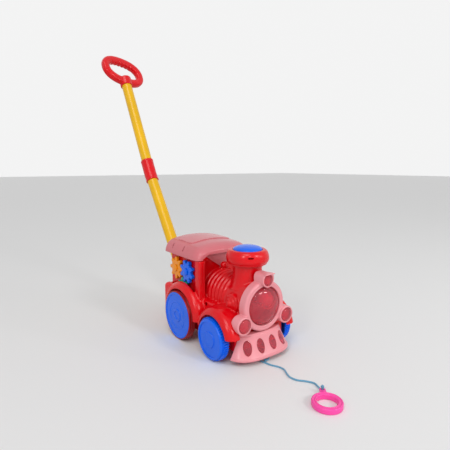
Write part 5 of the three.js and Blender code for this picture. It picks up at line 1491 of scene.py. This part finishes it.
def screw_form(length):
    """A pan-head screw with a cross recess and a thread of rings, head down and point up."""
    head, height, shank, soft = screw.head, screw.head_height, screw.shank, screw.head_round
    profile = [(0, 0), *arc((head - soft, soft), soft, -90, 0, 6), (head, height), (shank, height)]
    core = shank - thread.depth
    for i in range(int((length - thread.plain) / thread.pitch)):
        z = height + thread.start + i * thread.pitch
        profile += [(core, z), (shank, z + thread.pitch / 2)]
    profile += [(core, height + length - thread.point), (0, height + length)]
    narrow, wide = (-screw.slot / 2, screw.slot / 2), (screw.slot_end - head, head - screw.slot_end)
    slots = [block(x, y, (-OVER, screw.slot_depth)) for x, y in ((narrow, wide), (wide, narrow))]
    return cut(turned(profile, "z", (0, 0), PLAIN), *slots)


def all_screws():
    low = hull.bottom + GAP
    lengthwise = (base_screw.front_y, base_screw.back_y)
    base_places = [(x, y, low) for x in (-base_screw.x, base_screw.x) for y in lengthwise]
    side_x = side_screw.seat - GAP - screw.head_height
    side_places = [(side_x, y, z) for y, z in side_screw_places]
    side_form = moved(screw_form(side_screw.length), rotation(90, "Y"))
    for kind, places, form in (
        ("base_screw", base_places, screw_form(base_screw.length)), ("side_screw", side_places, side_form),
    ):
        name = kind + "s"
        anchors = mesh_object(name, places, [])
        repeated(anchors, trees.places, form=form, finish=steel)
        bpy.data.objects.remove(form)
        placed(anchors, name, steel, *(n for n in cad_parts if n.startswith(kind)))


all_screws()

# Pieces that keep their solids


def dressed(finish, *names, crease=25):
    for name in names:
        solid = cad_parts[name]
        solid.data.materials.clear()
        solid.data.materials.append(finish)
        solid.data.set_sharp_from_angle(angle=math.radians(crease))


dressed(red, "base_plate", "ball_cradle")
dressed(yellow, "axle_gear", "shaft_gear")
dressed(steel, "front_axle", "rear_axle", "gear_shaft")

# Floor, light and sky

floor_look = Sizes(reach=12.0, colour=(0.8, 0.8, 0.8), rough=0.6)
sky_light = Sizes(lights=0.46, shows=0.9)


def stage():
    size = floor_look.reach
    corners = [(-size, -size, 0), (size, -size, 0), (size, size, 0), (-size, size, 0)]
    floor = mesh_object("floor", corners, [(0, 1, 2, 3)])
    material, tree, shader = new_finish("floor")
    feed(tree, shader, {"Base Color": (*floor_look.colour, 1), "Roughness": floor_look.rough})
    floor.data.materials.append(material)


def studio_lamp(name, place, aim, size, power):
    light = bpy.data.lights.new(name, "AREA")
    light.shape = "RECTANGLE"
    light.size, light.size_y = size
    light.energy = power
    source = in_scene(name, light)
    source.location = place
    source.rotation_euler = (Vector(aim) - Vector(place)).to_track_quat("-Z", "Y").to_euler()


def daylight(way, strength, softness):
    """Even light from far off, so that the floor is as pale behind the toy as before it."""
    light = bpy.data.lights.new("daylight", "SUN")
    light.energy = strength
    light.angle = softness
    source = in_scene("daylight", light)
    source.rotation_euler = Vector(way).to_track_quat("Z", "Y").to_euler()


def sky():
    """White all round: one strength where it lights the toy, another where it is seen or mirrored."""
    world = bpy.data.worlds.new("studio")
    bpy.context.scene.world = world
    world.use_nodes = True
    tree = world.node_tree
    path = tree.nodes.new("ShaderNodeLightPath").outputs
    seen = path["Is Camera Ray"]
    for extra in ("Is Glossy Ray", "Is Transmission Ray"):
        seen = maths(tree, "MAXIMUM", seen, path[extra])
    inputs = {"To Min": sky_light.lights, "To Max": sky_light.shows, "Value": seen}
    strength = node(tree, "ShaderNodeMapRange", inputs).outputs[0]
    feed(tree, tree.nodes["Background"], {"Color": (1, 1, 1, 1), "Strength": strength})


stage()
studio_lamp("key", place=(0.5, -2.1, 1.2), aim=(0, -0.1, 0.1), size=(0.34, 0.34), power=11)
studio_lamp("near glint", place=(1.2, -1.8, 0.75), aim=(0, -0.2, 0.1), size=(0.13, 0.13), power=3.4)
studio_lamp("high glint", place=(-0.7, -1.9, 1.5), aim=(0, -0.2, 0.1), size=(0.1, 0.1), power=1.4)
studio_lamp("side", place=(-1.7, -1.1, 1.2), aim=(0, 0, 0.15), size=(0.3, 0.5), power=7)
daylight(way=(-0.5, -0.45, 1.0), strength=0.85, softness=0.5)
sky()

scene = bpy.context.scene
scene.view_settings.view_transform = "Standard"
